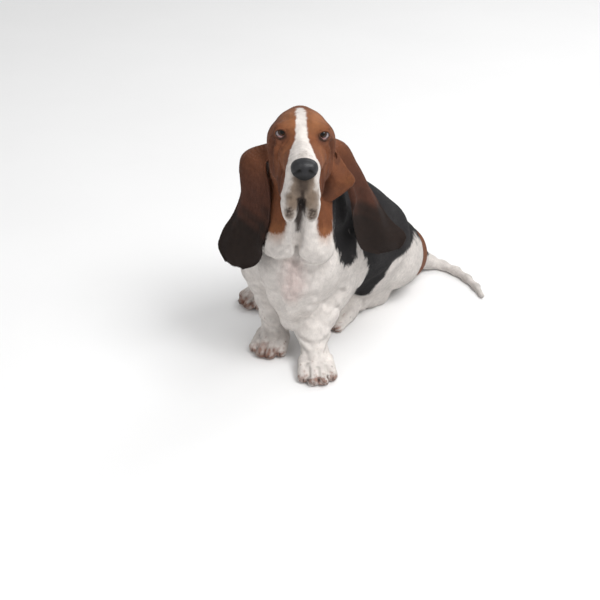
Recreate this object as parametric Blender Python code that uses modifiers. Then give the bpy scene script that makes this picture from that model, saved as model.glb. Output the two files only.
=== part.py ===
"""A basset hound sitting on the floor, life size, as a still model.

Metres, +Z up, the floor is z = 0. The dog looks along -Y and its left side is +X.
The flesh is one smooth form. Its muscles, pads and folds are round cones and balls that melt
into each other, and a fine closed mesh is settled onto them. It is then parted at the neck,
the shoulders, the hips and the tail. Ears, eyes, nose and claws are pieces of their own.
"""

import math

import bmesh
import bpy
import numpy as np
from mathutils import Matrix, Vector

# The joints and landmarks of the sitting dog.
WITHERS = Vector((0.040, 0.070, 0.322))
NECK_BASE = Vector((0.020, 0.048, 0.320))
NECK_TOP = Vector((0.015, 0.015, 0.460))
CHEST = Vector((0.016, 0.048, 0.228))
FORECHEST = Vector((0.006, -0.038, 0.228))
RIBS = Vector((0.090, 0.124, 0.220))
LOIN = Vector((0.144, 0.180, 0.166))
PELVIS = Vector((0.194, 0.262, 0.104))
RUMP = Vector((0.228, 0.324, 0.064))
TAIL_ROOT = Vector((0.276, 0.358, 0.034))
EYE_LINE = Vector((0.016, -0.092, 0.520))

# The head is pitched up, turned to the dog's left and tipped to one side, in degrees.
HEAD_PITCH, HEAD_TURN, HEAD_TIP = 12.0, 2.4, 2.0
EYE_SPREAD = 0.0355
EYE_DROP = 0.0010
EYE_RADIUS = 0.0125
LID_RADIUS = 0.0148
LIP_SWING = -0.0030
EAR_THICKNESS = 0.0044
EAR_CLEARANCE = 0.0036

GAP = 0.0003
VOXEL = 0.0042
TRIANGLES = {"fine": 11000, "coarse": 3200}
NOSE_TRIANGLES = 360

COLOURS = {
    "white_coat": (0.80, 0.76, 0.71),
    "tan_coat": (0.33, 0.11, 0.035),
    "dark_coat": (0.055, 0.032, 0.025),
    "nose_leather": (0.018, 0.018, 0.020),
    "eye": (0.06, 0.03, 0.018),
}


class Cone:
    """A round cone between two points, with folds of loose skin round it where they are asked for."""

    def __init__(self, start, end, start_radius, end_radius, blend=0.02, folds=0, fold_depth=0.0):
        self.start = np.array(start, float)
        self.end = np.array(end, float)
        self.radii = (start_radius, end_radius)
        self.blend = blend
        self.folds = folds
        self.fold_depth = fold_depth

    def distance(self, points):
        along = self.end - self.start
        share = np.clip((points - self.start) @ along / (along @ along), 0.0, 1.0)
        radius = self.radii[0] + share * (self.radii[1] - self.radii[0])
        if self.folds:
            radius = radius + self.fold_depth * np.cos(2 * math.pi * self.folds * share)
        return np.linalg.norm(points - self.start - share[:, None] * along, axis=1) - radius

    def beads(self):
        """Balls that fill the cone, for the rough mesh: (centre, radii, turn)."""
        length = np.linalg.norm(self.end - self.start)
        count = 2 + int(length / (0.5 * min(self.radii)))
        for share in np.linspace(0.0, 1.0, count):
            radius = self.radii[0] + share * (self.radii[1] - self.radii[0])
            yield self.start + share * (self.end - self.start), (radius,) * 3, Matrix.Identity(3)


class Ball:
    """An ellipsoid, turned by a 3 x 3 matrix."""

    def __init__(self, centre, radii, blend=0.02, turn=None):
        self.centre = np.array(centre, float)
        self.radii = np.array(radii, float)
        self.blend = blend
        self.turn = turn or Matrix.Identity(3)

    def distance(self, points):
        local = (points - self.centre) @ np.array(self.turn) / self.radii
        size = np.linalg.norm(local, axis=1)
        slope = np.linalg.norm(local / self.radii, axis=1) + 1e-12
        return size * (size - 1.0) / slope

    def beads(self):
        yield self.centre, tuple(self.radii), self.turn


class Lump:
    """Several cones and balls that melt well into each other, as one muscle."""

    def __init__(self, muscles, blend=0.01):
        self.muscles = muscles
        self.blend = blend

    def distance(self, points):
        return body_distance(points, self.muscles)

    def beads(self):
        for muscle in self.muscles:
            yield from muscle.beads()


def melt(first, second, blend):
    """The smooth union of two distances."""
    share = np.clip(0.5 + 0.5 * (first - second) / blend, 0.0, 1.0)
    return first + share * (second - first) - blend * share * (1.0 - share)


def body_distance(points, flesh, hollows=()):
    """How far each point is from the skin, below zero inside it."""
    found = flesh[0].distance(points)
    for muscle in flesh[1:]:
        found = melt(found, muscle.distance(points), muscle.blend)
    for hollow in hollows:
        found = -melt(-found, hollow.distance(points), hollow.blend)
    return found


def slopes(points, flesh, hollows=()):
    """The distance at each point and its gradient, from four probes."""
    step = 0.0004
    corners = np.array([(1, 1, 1), (1, -1, -1), (-1, 1, -1), (-1, -1, 1)], float)
    total = np.zeros_like(points)
    for corner in corners:
        total += corner * body_distance(points + step * corner, flesh, hollows)[:, None]
    return body_distance(points, flesh, hollows), total / (4 * step)


# Blender helpers.


def clear_scene():
    for old in list(bpy.data.objects):
        bpy.data.objects.remove(old, do_unlink=True)


def collection(name):
    made = bpy.data.collections.new(name)
    bpy.context.scene.collection.children.link(made)
    return made


def material(name):
    made = bpy.data.materials.get(name)
    if made is None:
        made = bpy.data.materials.new(name)
        made.use_nodes = True
        shader = made.node_tree.nodes["Principled BSDF"]
        shader.inputs["Base Color"].default_value = (*COLOURS[name], 1.0)
        shader.inputs["Roughness"].default_value = 0.25 if name in ("eye", "nose_leather") else 0.8
        shader.inputs["Metallic"].default_value = 0.0
        made.diffuse_color = (*COLOURS[name], 1.0)
    return made


def object_of(name, shape, home, finish=None):
    """A mesh object made from a bmesh, which is freed."""
    mesh = bpy.data.meshes.new(name)
    shape.to_mesh(mesh)
    shape.free()
    made = bpy.data.objects.new(name, mesh)
    home.objects.link(made)
    if finish:
        mesh.materials.append(material(finish))
    return made


def bake(obj):
    """Applies every modifier of an object to its mesh."""
    bpy.context.view_layer.update()
    graph = bpy.context.evaluated_depsgraph_get()
    done = bpy.data.meshes.new_from_object(obj.evaluated_get(graph), depsgraph=graph)
    obj.modifiers.clear()
    obj.data = done
    return obj


def copy_of(obj, name, home):
    made = bpy.data.objects.new(name, obj.data.copy())
    home.objects.link(made)
    return made


def discard(*objects):
    for obj in objects:
        bpy.data.objects.remove(obj, do_unlink=True)


def combine(obj, other, operation, solver="MANIFOLD"):
    """Applies one Boolean of obj with another closed mesh."""
    tool = obj.modifiers.new("combine", "BOOLEAN")
    tool.operation = operation
    tool.object = other
    tool.solver = solver
    return bake(obj)


def keep_largest(obj):
    """Leaves only the largest closed surface of a mesh."""
    shape = bmesh.new()
    shape.from_mesh(obj.data)
    left = set(shape.verts)
    groups = []
    while left:
        seed = left.pop()
        group, edge = {seed}, [seed]
        while edge:
            vert = edge.pop()
            for line in vert.link_edges:
                other = line.other_vert(vert)
                if other in left:
                    left.discard(other)
                    group.add(other)
                    edge.append(other)
        groups.append(group)
    if len(groups) > 1:
        groups.sort(key=len)
        loose = [vert for group in groups[:-1] for vert in group]
        bmesh.ops.delete(shape, geom=loose, context="VERTS")
    shape.to_mesh(obj.data)
    shape.free()
    return obj


def coordinates(mesh):
    places = np.empty(len(mesh.vertices) * 3, np.float64)
    mesh.vertices.foreach_get("co", places)
    return places.reshape(-1, 3)


def box_cutter(name, centre, size, turn, home, grow=0.0):
    """A closed box, turned by a matrix and grown on every side."""
    shape = bmesh.new()
    bmesh.ops.create_cube(shape, size=1.0)
    sides = Matrix.Diagonal([side + 2 * grow for side in size])
    bmesh.ops.transform(
        shape, matrix=Matrix.Translation(centre) @ (turn @ sides).to_4x4(), verts=shape.verts
    )
    made = object_of(name, shape, home)
    made.hide_render = True
    made.display_type = "WIRE"
    return made


# The flesh of each part of the body.


def head_place():
    """The matrix from the head's own axes, x left, y back and z up, to the dog's."""
    turn = Matrix.Rotation(math.radians(HEAD_TURN), 3, "Z")
    pitch = Matrix.Rotation(math.radians(-HEAD_PITCH), 3, "X")
    tip = Matrix.Rotation(math.radians(HEAD_TIP), 3, "Y")
    return Matrix.Translation(EYE_LINE) @ (turn @ pitch @ tip).to_4x4()


HEAD = head_place()


def on_head(x, y, z):
    return HEAD @ Vector((x, y, z))


def head_ball(centre, radii, blend):
    return Ball(on_head(*centre), radii, blend, HEAD.to_3x3())


def head_cone(start, end, start_radius, end_radius, blend):
    return Cone(on_head(*start), on_head(*end), start_radius, end_radius, blend)


def head_flesh():
    """Skull, brows, muzzle, cheeks, lids, hanging lips and chin."""
    flesh = [
        head_ball((0.0, 0.062, -0.008), (0.0510, 0.066, 0.0440), 0.02),
        head_ball((0.0, 0.020, -0.002), (0.044, 0.038, 0.032), 0.02),
        head_cone((0.0, 0.100, 0.012), (0.0, 0.118, 0.014), 0.018, 0.012, 0.02),
        head_cone((0.0, 0.000, -0.025), (0.0, -0.088, -0.0375), 0.0265, 0.0210, 0.014),
        head_ball((0.0, -0.098, -0.058), (0.0225, 0.014, 0.035), 0.010),
    ]
    for side in (-1, 1):
        lip = [
            head_ball((side * 0.0172 + LIP_SWING, -0.086, -0.070), (0.0102, 0.020, 0.037), 0.02),
            head_ball((side * 0.0180 + LIP_SWING, -0.072, -0.096), (0.0094, 0.024, 0.034), 0.02),
            head_ball((side * 0.0184 + LIP_SWING, -0.072, -0.1165), (0.0096, 0.022, 0.0215), 0.02),
            head_ball((side * 0.0196 + LIP_SWING, -0.036, -0.093), (0.0104, 0.034, 0.038), 0.02),
            head_ball((side * 0.0275, -0.004, -0.078), (0.0130, 0.032, 0.034), 0.02),
        ]
        flesh += [
            head_ball((side * 0.0345, 0.040, -0.050), (0.024, 0.048, 0.046), 0.025),
            head_cone(
                (side * 0.0230, 0.010, -0.034), (side * 0.0110, -0.084, -0.046), 0.0235, 0.0165, 0.014
            ),
            head_ball((side * 0.0430, 0.034, -0.016), (0.014, 0.034, 0.020), 0.02),
            head_ball((side * 0.031, 0.000, 0.0115), (0.017, 0.012, 0.0085), 0.012),
            Lump(lip, 0.009),
            Ball(eye_centre(side), (LID_RADIUS,) * 3, 0.006),
        ]
    flesh.append(head_cone((0.002, -0.072, -0.098), (0.0, 0.020, -0.102), 0.0110, 0.024, 0.004))
    return flesh


def eye_centre(side):
    return on_head(side * EYE_SPREAD, 0.0040, -side * EYE_DROP)


def head_hollows():
    """The groove below the nose, down to where the lips part."""
    return [head_cone((0.0, -0.116, -0.066), (LIP_SWING, -0.110, -0.104), 0.0006, 0.0036, 0.005)]


def neck_flesh():
    """The neck with the two long folds of loose skin that hang from the throat."""
    return [
        Cone(NECK_BASE, NECK_TOP, 0.070, 0.050, 0.035),
        Cone((-0.020, -0.042, 0.425), (-0.029, -0.080, 0.304), 0.022, 0.032, 0.012),
        Cone((0.046, -0.042, 0.420), (0.043, -0.080, 0.294), 0.022, 0.034, 0.012),
        Cone((0.010, -0.015, 0.425), (0.007, -0.038, 0.330), 0.044, 0.050, 0.025),
        Cone((-0.034, -0.014, 0.432), (-0.042, -0.012, 0.330), 0.024, 0.032, 0.035),
        Cone((0.060, -0.012, 0.430), (0.066, -0.008, 0.330), 0.024, 0.032, 0.035),
        Cone((0.014, -0.030, 0.450), (0.012, -0.050, 0.390), 0.040, 0.040, 0.03),
    ]


def torso_flesh():
    """Chest, breastbone, ribs, loin and rump, from front to back."""
    front = Matrix.Rotation(math.radians(-15), 3, "Z")
    side = Matrix.Rotation(math.radians(-43), 3, "Z")
    sloped = side @ Matrix.Rotation(math.radians(-42), 3, "X")
    return [
        Ball(CHEST, (0.098, 0.098, 0.120), 0.03, front),
        Ball(FORECHEST, (0.070, 0.048, 0.068), 0.045),
        Cone(WITHERS, RIBS, 0.048, 0.082, 0.06),
        Ball(RIBS, (0.088, 0.096, 0.090), 0.045, sloped),
        Cone(RIBS, LOIN, 0.084, 0.072, 0.045),
        Cone((0.112, 0.128, 0.260), (0.170, 0.198, 0.192), 0.061, 0.059, 0.045),
        Cone(LOIN, PELVIS, 0.072, 0.060, 0.045),
        Cone(PELVIS, RUMP, 0.060, 0.046, 0.045),
        Ball(PELVIS, (0.062, 0.068, 0.062), 0.035, sloped),
        Ball(RUMP, (0.048, 0.047, 0.062), 0.03, side),
        Cone(PELVIS, HIND_LEGS["right"]["hip"], 0.054, 0.050, 0.045),
        Cone(RUMP, HIND_LEGS["right"]["hip"], 0.044, 0.044, 0.045),
        Cone(RUMP, HIND_LEGS["left"]["hip"], 0.042, 0.042, 0.035),
        Cone((0.000, -0.012, 0.150), (-0.002, 0.006, 0.092), 0.046, 0.024, 0.03),
        Cone((0.010, 0.040, 0.120), (0.070, 0.120, 0.105), 0.040, 0.055, 0.03),
        Cone(TAIL_ROOT, TAIL_LINE[1], 0.024, 0.017, 0.025),
    ]


def shoulder_flesh(shoulder, elbow):
    return [Cone(shoulder, elbow, 0.046, 0.038, 0.03)]


def foreleg_flesh(elbow, wrist, paw, heading):
    """The short, thick forearm with its rings of loose skin, and the paw."""
    knuckle = Vector((paw[0], paw[1], 0.030)) - 0.012 * heading
    return [
        Cone(elbow, wrist, 0.038, 0.0300, 0.020, folds=3, fold_depth=0.0012),
        Cone(wrist, knuckle, 0.0290, 0.0270, 0.012, folds=1, fold_depth=0.0012),
        *paw_flesh(paw, heading),
    ]


TOES = (-1.5, -0.5, 0.5, 1.5)
TOE_GAP = 0.0172
TOE_REACH = 0.048


def toe_line(paw, heading, toe):
    """Knuckle and tip of one toe."""
    left = Vector((-heading.y, heading.x, 0.0))
    place = Vector((paw[0], paw[1], 0.0))
    outer = abs(toe) - 0.5
    knuckle = place + left * (toe * TOE_GAP * 0.88) + heading * (0.008 - 0.008 * outer)
    tip = place + left * (toe * TOE_GAP * 1.06) + heading * (TOE_REACH - 0.013 * outer)
    return knuckle + Vector((0, 0, 0.029 - 0.004 * outer)), tip + Vector((0, 0, 0.0112))


def paw_flesh(paw, heading):
    """The ball of the foot and four toes, on the floor."""
    turn = Matrix.Rotation(math.atan2(heading.x, -heading.y), 3, "Z")
    flesh = [Ball((paw[0], paw[1], 0.0200), (0.0310, 0.034, 0.0245), 0.010, turn)]
    for toe in TOES:
        knuckle, tip = toe_line(paw, heading, toe)
        flesh.append(Cone(knuckle, tip, 0.0132, 0.0128, 0.0045))
    return flesh


def hind_leg_flesh(hip, knee, hock, paw, heading):
    """Thigh folded over the shin, the hock on the floor and the long foot forward of it."""
    middle = Vector(hip) * 0.5 + Vector(knee) * 0.5 + Vector((-0.010, 0.016, 0.0))
    instep = Vector((paw[0], paw[1], 0.032)) - 0.020 * heading
    return [
        Cone(hip, knee, 0.047, 0.041, 0.035),
        Cone(knee, hock, 0.036, 0.021, 0.018),
        Ball((middle.x, middle.y, 0.040), (0.032, 0.032, 0.043), 0.025),
        Cone(hock, instep, 0.0220, 0.0235, 0.018, folds=2, fold_depth=0.0010),
        *paw_flesh(paw, heading),
    ]


TAIL_LINE = (
    TAIL_ROOT,
    Vector((0.300, 0.372, 0.018)),
    Vector((0.330, 0.368, 0.0116)),
    Vector((0.358, 0.344, 0.0099)),
    Vector((0.380, 0.312, 0.0087)),
    Vector((0.396, 0.276, 0.0076)),
    Vector((0.404, 0.240, 0.0065)),
)
TAIL_RADII = (0.0205, 0.0130, 0.0106, 0.0096, 0.0086, 0.0075, 0.0062)


def tail_flesh():
    """A tapering tail that lies on the floor and curves round the haunch."""
    links = zip(TAIL_LINE, TAIL_LINE[1:], TAIL_RADII, TAIL_RADII[1:])
    return [Cone(start, end, thick, thin, 0.010) for start, end, thick, thin in links]


FORE_LEGS = {
    "left": dict(
        shoulder=(0.082, 0.036, 0.258),
        elbow=(0.088, 0.052, 0.158),
        wrist=(0.038, -0.008, 0.064),
        paw=(0.0425, -0.047),
        heading=Vector((0.10, -0.995, 0.0)).normalized(),
    ),
    "right": dict(
        shoulder=(-0.048, 0.062, 0.256),
        elbow=(-0.064, 0.092, 0.158),
        wrist=(-0.038, 0.072, 0.064),
        paw=(-0.042, 0.049),
        heading=Vector((-0.30, -0.954, 0.0)).normalized(),
    ),
}
HIND_LEGS = {
    "left": dict(
        hip=(0.204, 0.244, 0.092),
        knee=(0.144, 0.172, 0.090),
        hock=(0.176, 0.228, 0.0203),
        paw=(0.100, 0.146),
        heading=Vector((-0.76, -0.65, 0.0)).normalized(),
    ),
    "right": dict(
        hip=(0.134, 0.336, 0.096),
        knee=(0.046, 0.294, 0.096),
        hock=(0.056, 0.322, 0.0203),
        paw=(-0.062, 0.232),
        heading=Vector((-0.80, -0.60, 0.0)).normalized(),
    ),
}


def whole_flesh():
    flesh = [*torso_flesh(), *neck_flesh(), *head_flesh(), *tail_flesh()]
    for leg in FORE_LEGS.values():
        flesh += shoulder_flesh(leg["shoulder"], leg["elbow"])
        flesh += foreleg_flesh(leg["elbow"], leg["wrist"], leg["paw"], leg["heading"])
    for leg in HIND_LEGS.values():
        flesh += hind_leg_flesh(**leg)
    return flesh


# The fine mesh of the whole flesh.


def rough_mesh(flesh, home, voxel=VOXEL):
    """Balls all through the flesh, made one closed mesh by a voxel remesh."""
    shape = bmesh.new()
    bmesh.ops.create_uvsphere(shape, u_segments=16, v_segments=10, radius=1.0)
    shape.verts.index_update()
    ball = np.array([vert.co[:] for vert in shape.verts])
    sides = [[vert.index for vert in face.verts] for face in shape.faces]
    shape.free()
    places, faces = [], []
    for muscle in flesh:
        for centre, radii, turn in muscle.beads():
            first = len(places) * len(ball)
            places.append(ball * np.array(radii) @ np.array(turn).T + np.array(centre))
            faces += [[first + corner for corner in side] for side in sides]
    mesh = bpy.data.meshes.new("flesh")
    mesh.from_pydata(np.concatenate(places).tolist(), [], faces)
    made = bpy.data.objects.new("flesh", mesh)
    home.objects.link(made)
    remesh = made.modifiers.new("one skin", "REMESH")
    remesh.mode = "VOXEL"
    remesh.voxel_size = voxel
    return bake(made)


def settle(obj, flesh, hollows, rounds=4):
    """Moves a closed mesh onto the skin, evening its vertices out between the moves."""
    mesh = obj.data
    places = coordinates(mesh)
    lines = np.empty(len(mesh.edges) * 2, np.int64)
    mesh.edges.foreach_get("vertices", lines)
    lines = lines.reshape(-1, 2)
    ends = np.bincount(lines.ravel(), minlength=len(places))[:, None]
    for number in range(rounds):
        found, slope = slopes(places, flesh, hollows)
        steep = np.sum(slope * slope, axis=1) + 1e-6
        move = found / steep
        places -= np.clip(move, -0.01, 0.01)[:, None] * slope
        if number + 1 == rounds:
            break
        for _ in range(2):
            total = np.zeros_like(places)
            np.add.at(total, lines[:, 0], places[lines[:, 1]])
            np.add.at(total, lines[:, 1], places[lines[:, 0]])
            places += 0.5 * (total / ends - places)
    mesh.vertices.foreach_set("co", places.astype(np.float32).ravel())
    mesh.update()
    return obj


def trim_to_floor(obj, cutters):
    """Cuts the flesh flat at the floor, so that it rests on small flats."""
    slab = box_cutter("below_floor", (0.1, 0.1, -0.1), (2.0, 2.0, 0.2), Matrix.Identity(3), cutters)
    combine(obj, slab, "DIFFERENCE")
    discard(slab)
    return obj


def thin(obj, triangles):
    """Collapses edges until about this many triangles are left."""
    count = sum(len(face.vertices) - 2 for face in obj.data.polygons)
    if count > triangles:
        collapse = obj.modifiers.new("thin", "DECIMATE")
        collapse.ratio = triangles / count
        bake(obj)
    return obj


# Ears, eyes, nose and claws.


class EarRow:
    """One row across an ear: its front and back edges and how far it bows out between them."""

    def __init__(self, front, back, bow):
        self.front = Vector(front)
        self.back = Vector(back)
        self.bow = bow


EARS = {
    "right": (
        EarRow((-0.034, -0.070, 0.474), (-0.022, -0.014, 0.474), 0.06),
        EarRow((-0.047, -0.074, 0.456), (-0.080, -0.022, 0.458), 0.30),
        EarRow((-0.044, -0.080, 0.425), (-0.096, -0.030, 0.428), 0.24),
        EarRow((-0.043, -0.088, 0.380), (-0.098, -0.030, 0.380), 0.16),
        EarRow((-0.045, -0.092, 0.330), (-0.111, -0.033, 0.336), 0.12),
        EarRow((-0.056, -0.094, 0.290), (-0.132, -0.040, 0.303), 0.10),
        EarRow((-0.072, -0.090, 0.262), (-0.141, -0.050, 0.276), 0.08),
        EarRow((-0.094, -0.082, 0.249), (-0.126, -0.064, 0.255), 0.06),
    ),
    "left": (
        EarRow((0.052, -0.078, 0.494), (0.050, -0.014, 0.482), 0.06),
        EarRow((0.064, -0.066, 0.478), (0.090, -0.016, 0.470), 0.24),
        EarRow((0.071, -0.070, 0.448), (0.114, -0.012, 0.431), 0.20),
        EarRow((0.089, -0.068, 0.415), (0.131, -0.006, 0.391), 0.18),
        EarRow((0.101, -0.058, 0.377), (0.149, -0.003, 0.361), 0.14),
        EarRow((0.109, -0.050, 0.343), (0.168, -0.002, 0.332), 0.12),
        EarRow((0.118, -0.042, 0.296), (0.186, -0.001, 0.302), 0.10),
        EarRow((0.130, -0.034, 0.266), (0.210, 0.000, 0.275), 0.08),
        EarRow((0.162, -0.024, 0.248), (0.203, -0.004, 0.251), 0.06),
    ),
}
EAR_GRID = (10, 20)


def between(values, share):
    """A smooth curve through evenly spaced values, at a share of its length."""
    place = share * (len(values) - 1)
    index = min(int(place), len(values) - 2)
    t = place - index
    before = values[max(index - 1, 0)]
    after = values[min(index + 2, len(values) - 1)]
    first, second = values[index], values[index + 1]
    return (
        first
        + (second - before) * (0.5 * t)
        + (before * 2 - first * 5 + second * 4 - after) * (0.5 * t * t)
        + (first * 3 - second * 3 - before + after) * (0.5 * t * t * t)
    )


def ear_points(rows, side):
    """The grid of the ear's middle surface, from root to tip and from front to back."""
    across, down = EAR_GRID
    fronts = [row.front for row in rows]
    backs = [row.back for row in rows]
    bows = [row.bow for row in rows]
    grid = []
    for line in range(down):
        share = line / (down - 1)
        front, back, bow = (between(kind, share) for kind in (fronts, backs, bows))
        chord = back - front
        along = between(fronts, min(share + 0.05, 1)) - between(fronts, max(share - 0.05, 0))
        outward = chord.cross(along).normalized()
        if outward.dot(Vector((side, -0.6, 0.1))) < 0:
            outward = -outward
        for step in range(across):
            t = step / (across - 1)
            swell = 4 * t * (1 - t)
            grid.append(front + chord * t + outward * (bow * chord.length * swell))
    return np.array([point[:] for point in grid])


def ear_solid(name, rows, side, flesh, hollows, home):
    """A bowed sheet with thickness, kept clear of the neck and chest that it hangs against."""
    across, down = EAR_GRID
    points = ear_points(rows, side)
    free = np.clip((np.arange(len(points)) // across / (down - 1) - 0.10) / 0.10, 0.0, 1.0)
    for _ in range(6):
        found, slope = slopes(points, flesh, hollows)
        short = np.clip(EAR_CLEARANCE + 0.002 - found, 0.0, 0.012) * free
        points += short[:, None] * slope
    shape = bmesh.new()
    verts = [shape.verts.new(point) for point in points]
    for line in range(down - 1):
        for step in range(across - 1):
            a = line * across + step
            shape.faces.new((verts[a], verts[a + 1], verts[a + across + 1], verts[a + across]))
    bmesh.ops.triangulate(shape, faces=shape.faces, quad_method="FIXED")
    bmesh.ops.recalc_face_normals(shape, faces=shape.faces)
    made = object_of(name, shape, home, "tan_coat")
    thick = made.modifiers.new("thickness", "SOLIDIFY")
    thick.thickness = EAR_THICKNESS
    thick.offset = 0.0
    return bake(made)


def ball_solid(name, centre, radii, turn, home, finish=None, grow=0.0, segments=(12, 8)):
    shape = bmesh.new()
    sides = Matrix.Diagonal([radius + grow for radius in radii])
    place = Matrix.Translation(centre) @ (turn @ sides).to_4x4()
    bmesh.ops.create_uvsphere(
        shape, u_segments=segments[0], v_segments=segments[1], radius=1.0, matrix=place
    )
    return object_of(name, shape, home, finish)


def eye_frame(side):
    """The turn of one eye: its axis looks forward, a little up and to its own side."""
    return HEAD.to_3x3() @ Matrix.Rotation(math.radians(side * 14), 3, "Z")


def open_lids(head, side, cutters):
    """Cuts the socket and the almond between the lids out of the head."""
    turn = eye_frame(side)
    centre = eye_centre(side)
    socket = ball_solid("socket", centre, (EYE_RADIUS,) * 3, turn, cutters, grow=GAP)
    forward = turn @ Vector((0.0, -0.0125, -0.0016))
    droop = turn @ Matrix.Rotation(math.radians(side * 16), 3, "Y")
    almond = ball_solid("almond", centre + forward, (0.0100, 0.0100, 0.0090), droop, cutters)
    combine(head, socket, "DIFFERENCE")
    combine(head, almond, "DIFFERENCE")
    discard(socket, almond)


def nose_flesh():
    """A rounded block, broad above and drawn in below."""
    return [
        head_ball((0.0, -0.1065, -0.0350), (0.0222, 0.0165, 0.0150), 0.006),
        head_ball((0.0, -0.1070, -0.0420), (0.0185, 0.0160, 0.0165), 0.008),
        head_ball((0.0120, -0.1095, -0.0380), (0.0098, 0.0125, 0.0125), 0.006),
        head_ball((-0.0120, -0.1095, -0.0380), (0.0098, 0.0125, 0.0125), 0.006),
    ]


def nose_hollows():
    """The two nostrils, which open forward and curl back at the sides, and the groove between."""
    hollows = [head_cone((0.0, -0.1265, -0.0310), (0.0, -0.1245, -0.0590), 0.0004, 0.0012, 0.003)]
    for side in (-1, 1):
        inner = (side * 0.0088, -0.1240, -0.0370)
        deep = (side * 0.0070, -0.1125, -0.0360)
        slit = (side * 0.0195, -0.1165, -0.0450)
        hollows.append(head_cone(inner, deep, 0.0040, 0.0026, 0.002))
        hollows.append(head_cone(inner, slit, 0.0026, 0.0012, 0.002))
    return hollows


def nose_solid(home):
    flesh = nose_flesh()
    hollows = nose_hollows()
    made = rough_mesh(flesh, home, 0.0016)
    settle(made, flesh, hollows, 4)
    made.name = "nose"
    return thin(made, NOSE_TRIANGLES)


def grown(obj, distance, home):
    """A copy of a closed mesh with its surface moved outward."""
    made = copy_of(obj, obj.name + "_grown", home)
    shape = bmesh.new()
    shape.from_mesh(made.data)
    shape.normal_update()
    for vert in shape.verts:
        vert.co += vert.normal * distance
    shape.to_mesh(made.data)
    shape.free()
    return made


def claw_shapes(paw, heading, home):
    """Four short, blunt, bent claws, each with its root in a toe."""
    made = []
    for toe in TOES:
        knuckle, tip = toe_line(paw, heading, toe)
        along = Vector((tip.x - knuckle.x, tip.y - knuckle.y, 0.0)).normalized()
        root = tip + along * 0.0060 + Vector((0, 0, 0.0030))
        bend = tip + along * 0.0125 + Vector((0, 0, 0.0010))
        point = tip + along * 0.0158 + Vector((0, 0, -0.0046))
        shape = bmesh.new()
        rings = []
        for centre, width in ((root, 0.0044), (bend, 0.0036), (point, 0.0018)):
            left = along.cross(Vector((0, 0, 1))).normalized()
            up = left.cross(along).normalized()
            ring = []
            for corner in range(7):
                angle = 2 * math.pi * corner / 7
                place = centre + width * (left * math.cos(angle) * 0.8 + up * math.sin(angle))
                ring.append(shape.verts.new(place))
            rings.append(ring)
        for first, second in zip(rings, rings[1:]):
            for corner in range(7):
                after = (corner + 1) % 7
                shape.faces.new((first[corner], first[after], second[after], second[corner]))
        shape.faces.new(rings[0])
        shape.faces.new(rings[-1])
        bmesh.ops.recalc_face_normals(shape, faces=shape.faces)
        made.append(object_of("claw", shape, home))
    return made


# Where the flesh is parted. Each box holds one part.


def limb_box(anchor, back, extents, pitch=0.0, lean=0.0):
    """A box in axes of its own: x to the outside, y along the body to its back and z up.

    The extents are the lowest and highest x, y and z from the anchor.
    """
    yaw = Matrix.Rotation(math.atan2(-back[0], back[1]), 3, "Z")
    tilt = Matrix.Rotation(math.radians(pitch), 3, "X") @ Matrix.Rotation(math.radians(lean), 3, "Y")
    turn = yaw @ tilt
    low, high = Vector(extents[0]), Vector(extents[1])
    return Vector(anchor) + turn @ ((low + high) / 2), high - low, turn


LIMB_EXTENTS = {
    "fore_leg_left": ((-0.053, -0.18, -0.20), (0.090, 0.040, -0.006)),
    "fore_leg_right": ((-0.090, -0.18, -0.20), (0.042, 0.050, -0.006)),
    "hind_leg_left": ((-0.036, -0.24, -0.14), (0.140, 0.045, 0.052)),
    "hind_leg_right": ((-0.160, -0.30, -0.14), (0.018, 0.045, 0.052)),
}
FORE_LEG_LEAN = {"left": 12.0, "right": -8.0}
HIND_LEG_PITCH = 14.0
HIP_LINE = (0.77, 0.635)


def parting_boxes():
    """Node name to its box and its grade of mesh, in the order in which they are cut off."""
    head_turn = HEAD.to_3x3() @ Matrix.Rotation(math.radians(20), 3, "X")
    neck_turn = Matrix.Rotation(math.radians(16), 3, "X")
    boxes = {
        "head": (HEAD @ Vector((0.0, -0.014, 0.0)), Vector((0.26, 0.32, 0.26)), head_turn, "fine"),
        "neck": (Vector((0.015, -0.01, 0.405)), Vector((0.30, 0.36, 0.21)), neck_turn, "coarse"),
        "tail": (Vector((0.403, 0.300, 0.0)), Vector((0.21, 0.30, 0.16)), Matrix.Identity(3), "fine"),
    }
    for side, leg in FORE_LEGS.items():
        name = "fore_leg_" + side
        placed = limb_box(leg["elbow"], (0, 1), LIMB_EXTENTS[name], 0.0, FORE_LEG_LEAN[side])
        boxes[name] = (*placed, "fine")
    for side, leg in HIND_LEGS.items():
        name = "hind_leg_" + side
        placed = limb_box(leg["hip"], HIP_LINE, LIMB_EXTENTS[name], HIND_LEG_PITCH)
        boxes[name] = (*placed, "fine")
    return boxes


def part_flesh(whole, home, cutters):
    """Cuts the flesh into its nodes: the head, legs and tail from a finer mesh than the rest."""
    meshes = {}
    for grade, triangles in TRIANGLES.items():
        meshes[grade] = thin(copy_of(whole, grade, cutters), triangles)
        trim_to_floor(meshes[grade], cutters)
    boxes = parting_boxes()
    nodes = {}
    for name, (centre, size, turn, grade) in boxes.items():
        node = copy_of(meshes[grade], name, home)
        inside = box_cutter("inside", centre, size, turn, cutters)
        combine(node, inside, "INTERSECT")
        discard(inside)
        for before in nodes:
            other = box_cutter("other", *boxes[before][:3], cutters, GAP)
            combine(node, other, "DIFFERENCE")
            discard(other)
        nodes[name] = keep_largest(node)
    torso = copy_of(meshes["coarse"], "torso", home)
    for name in boxes:
        outside = box_cutter("outside", *boxes[name][:3], cutters, GAP)
        combine(torso, outside, "DIFFERENCE")
        discard(outside)
    nodes["torso"] = keep_largest(torso)
    discard(*meshes.values())
    return nodes


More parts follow.
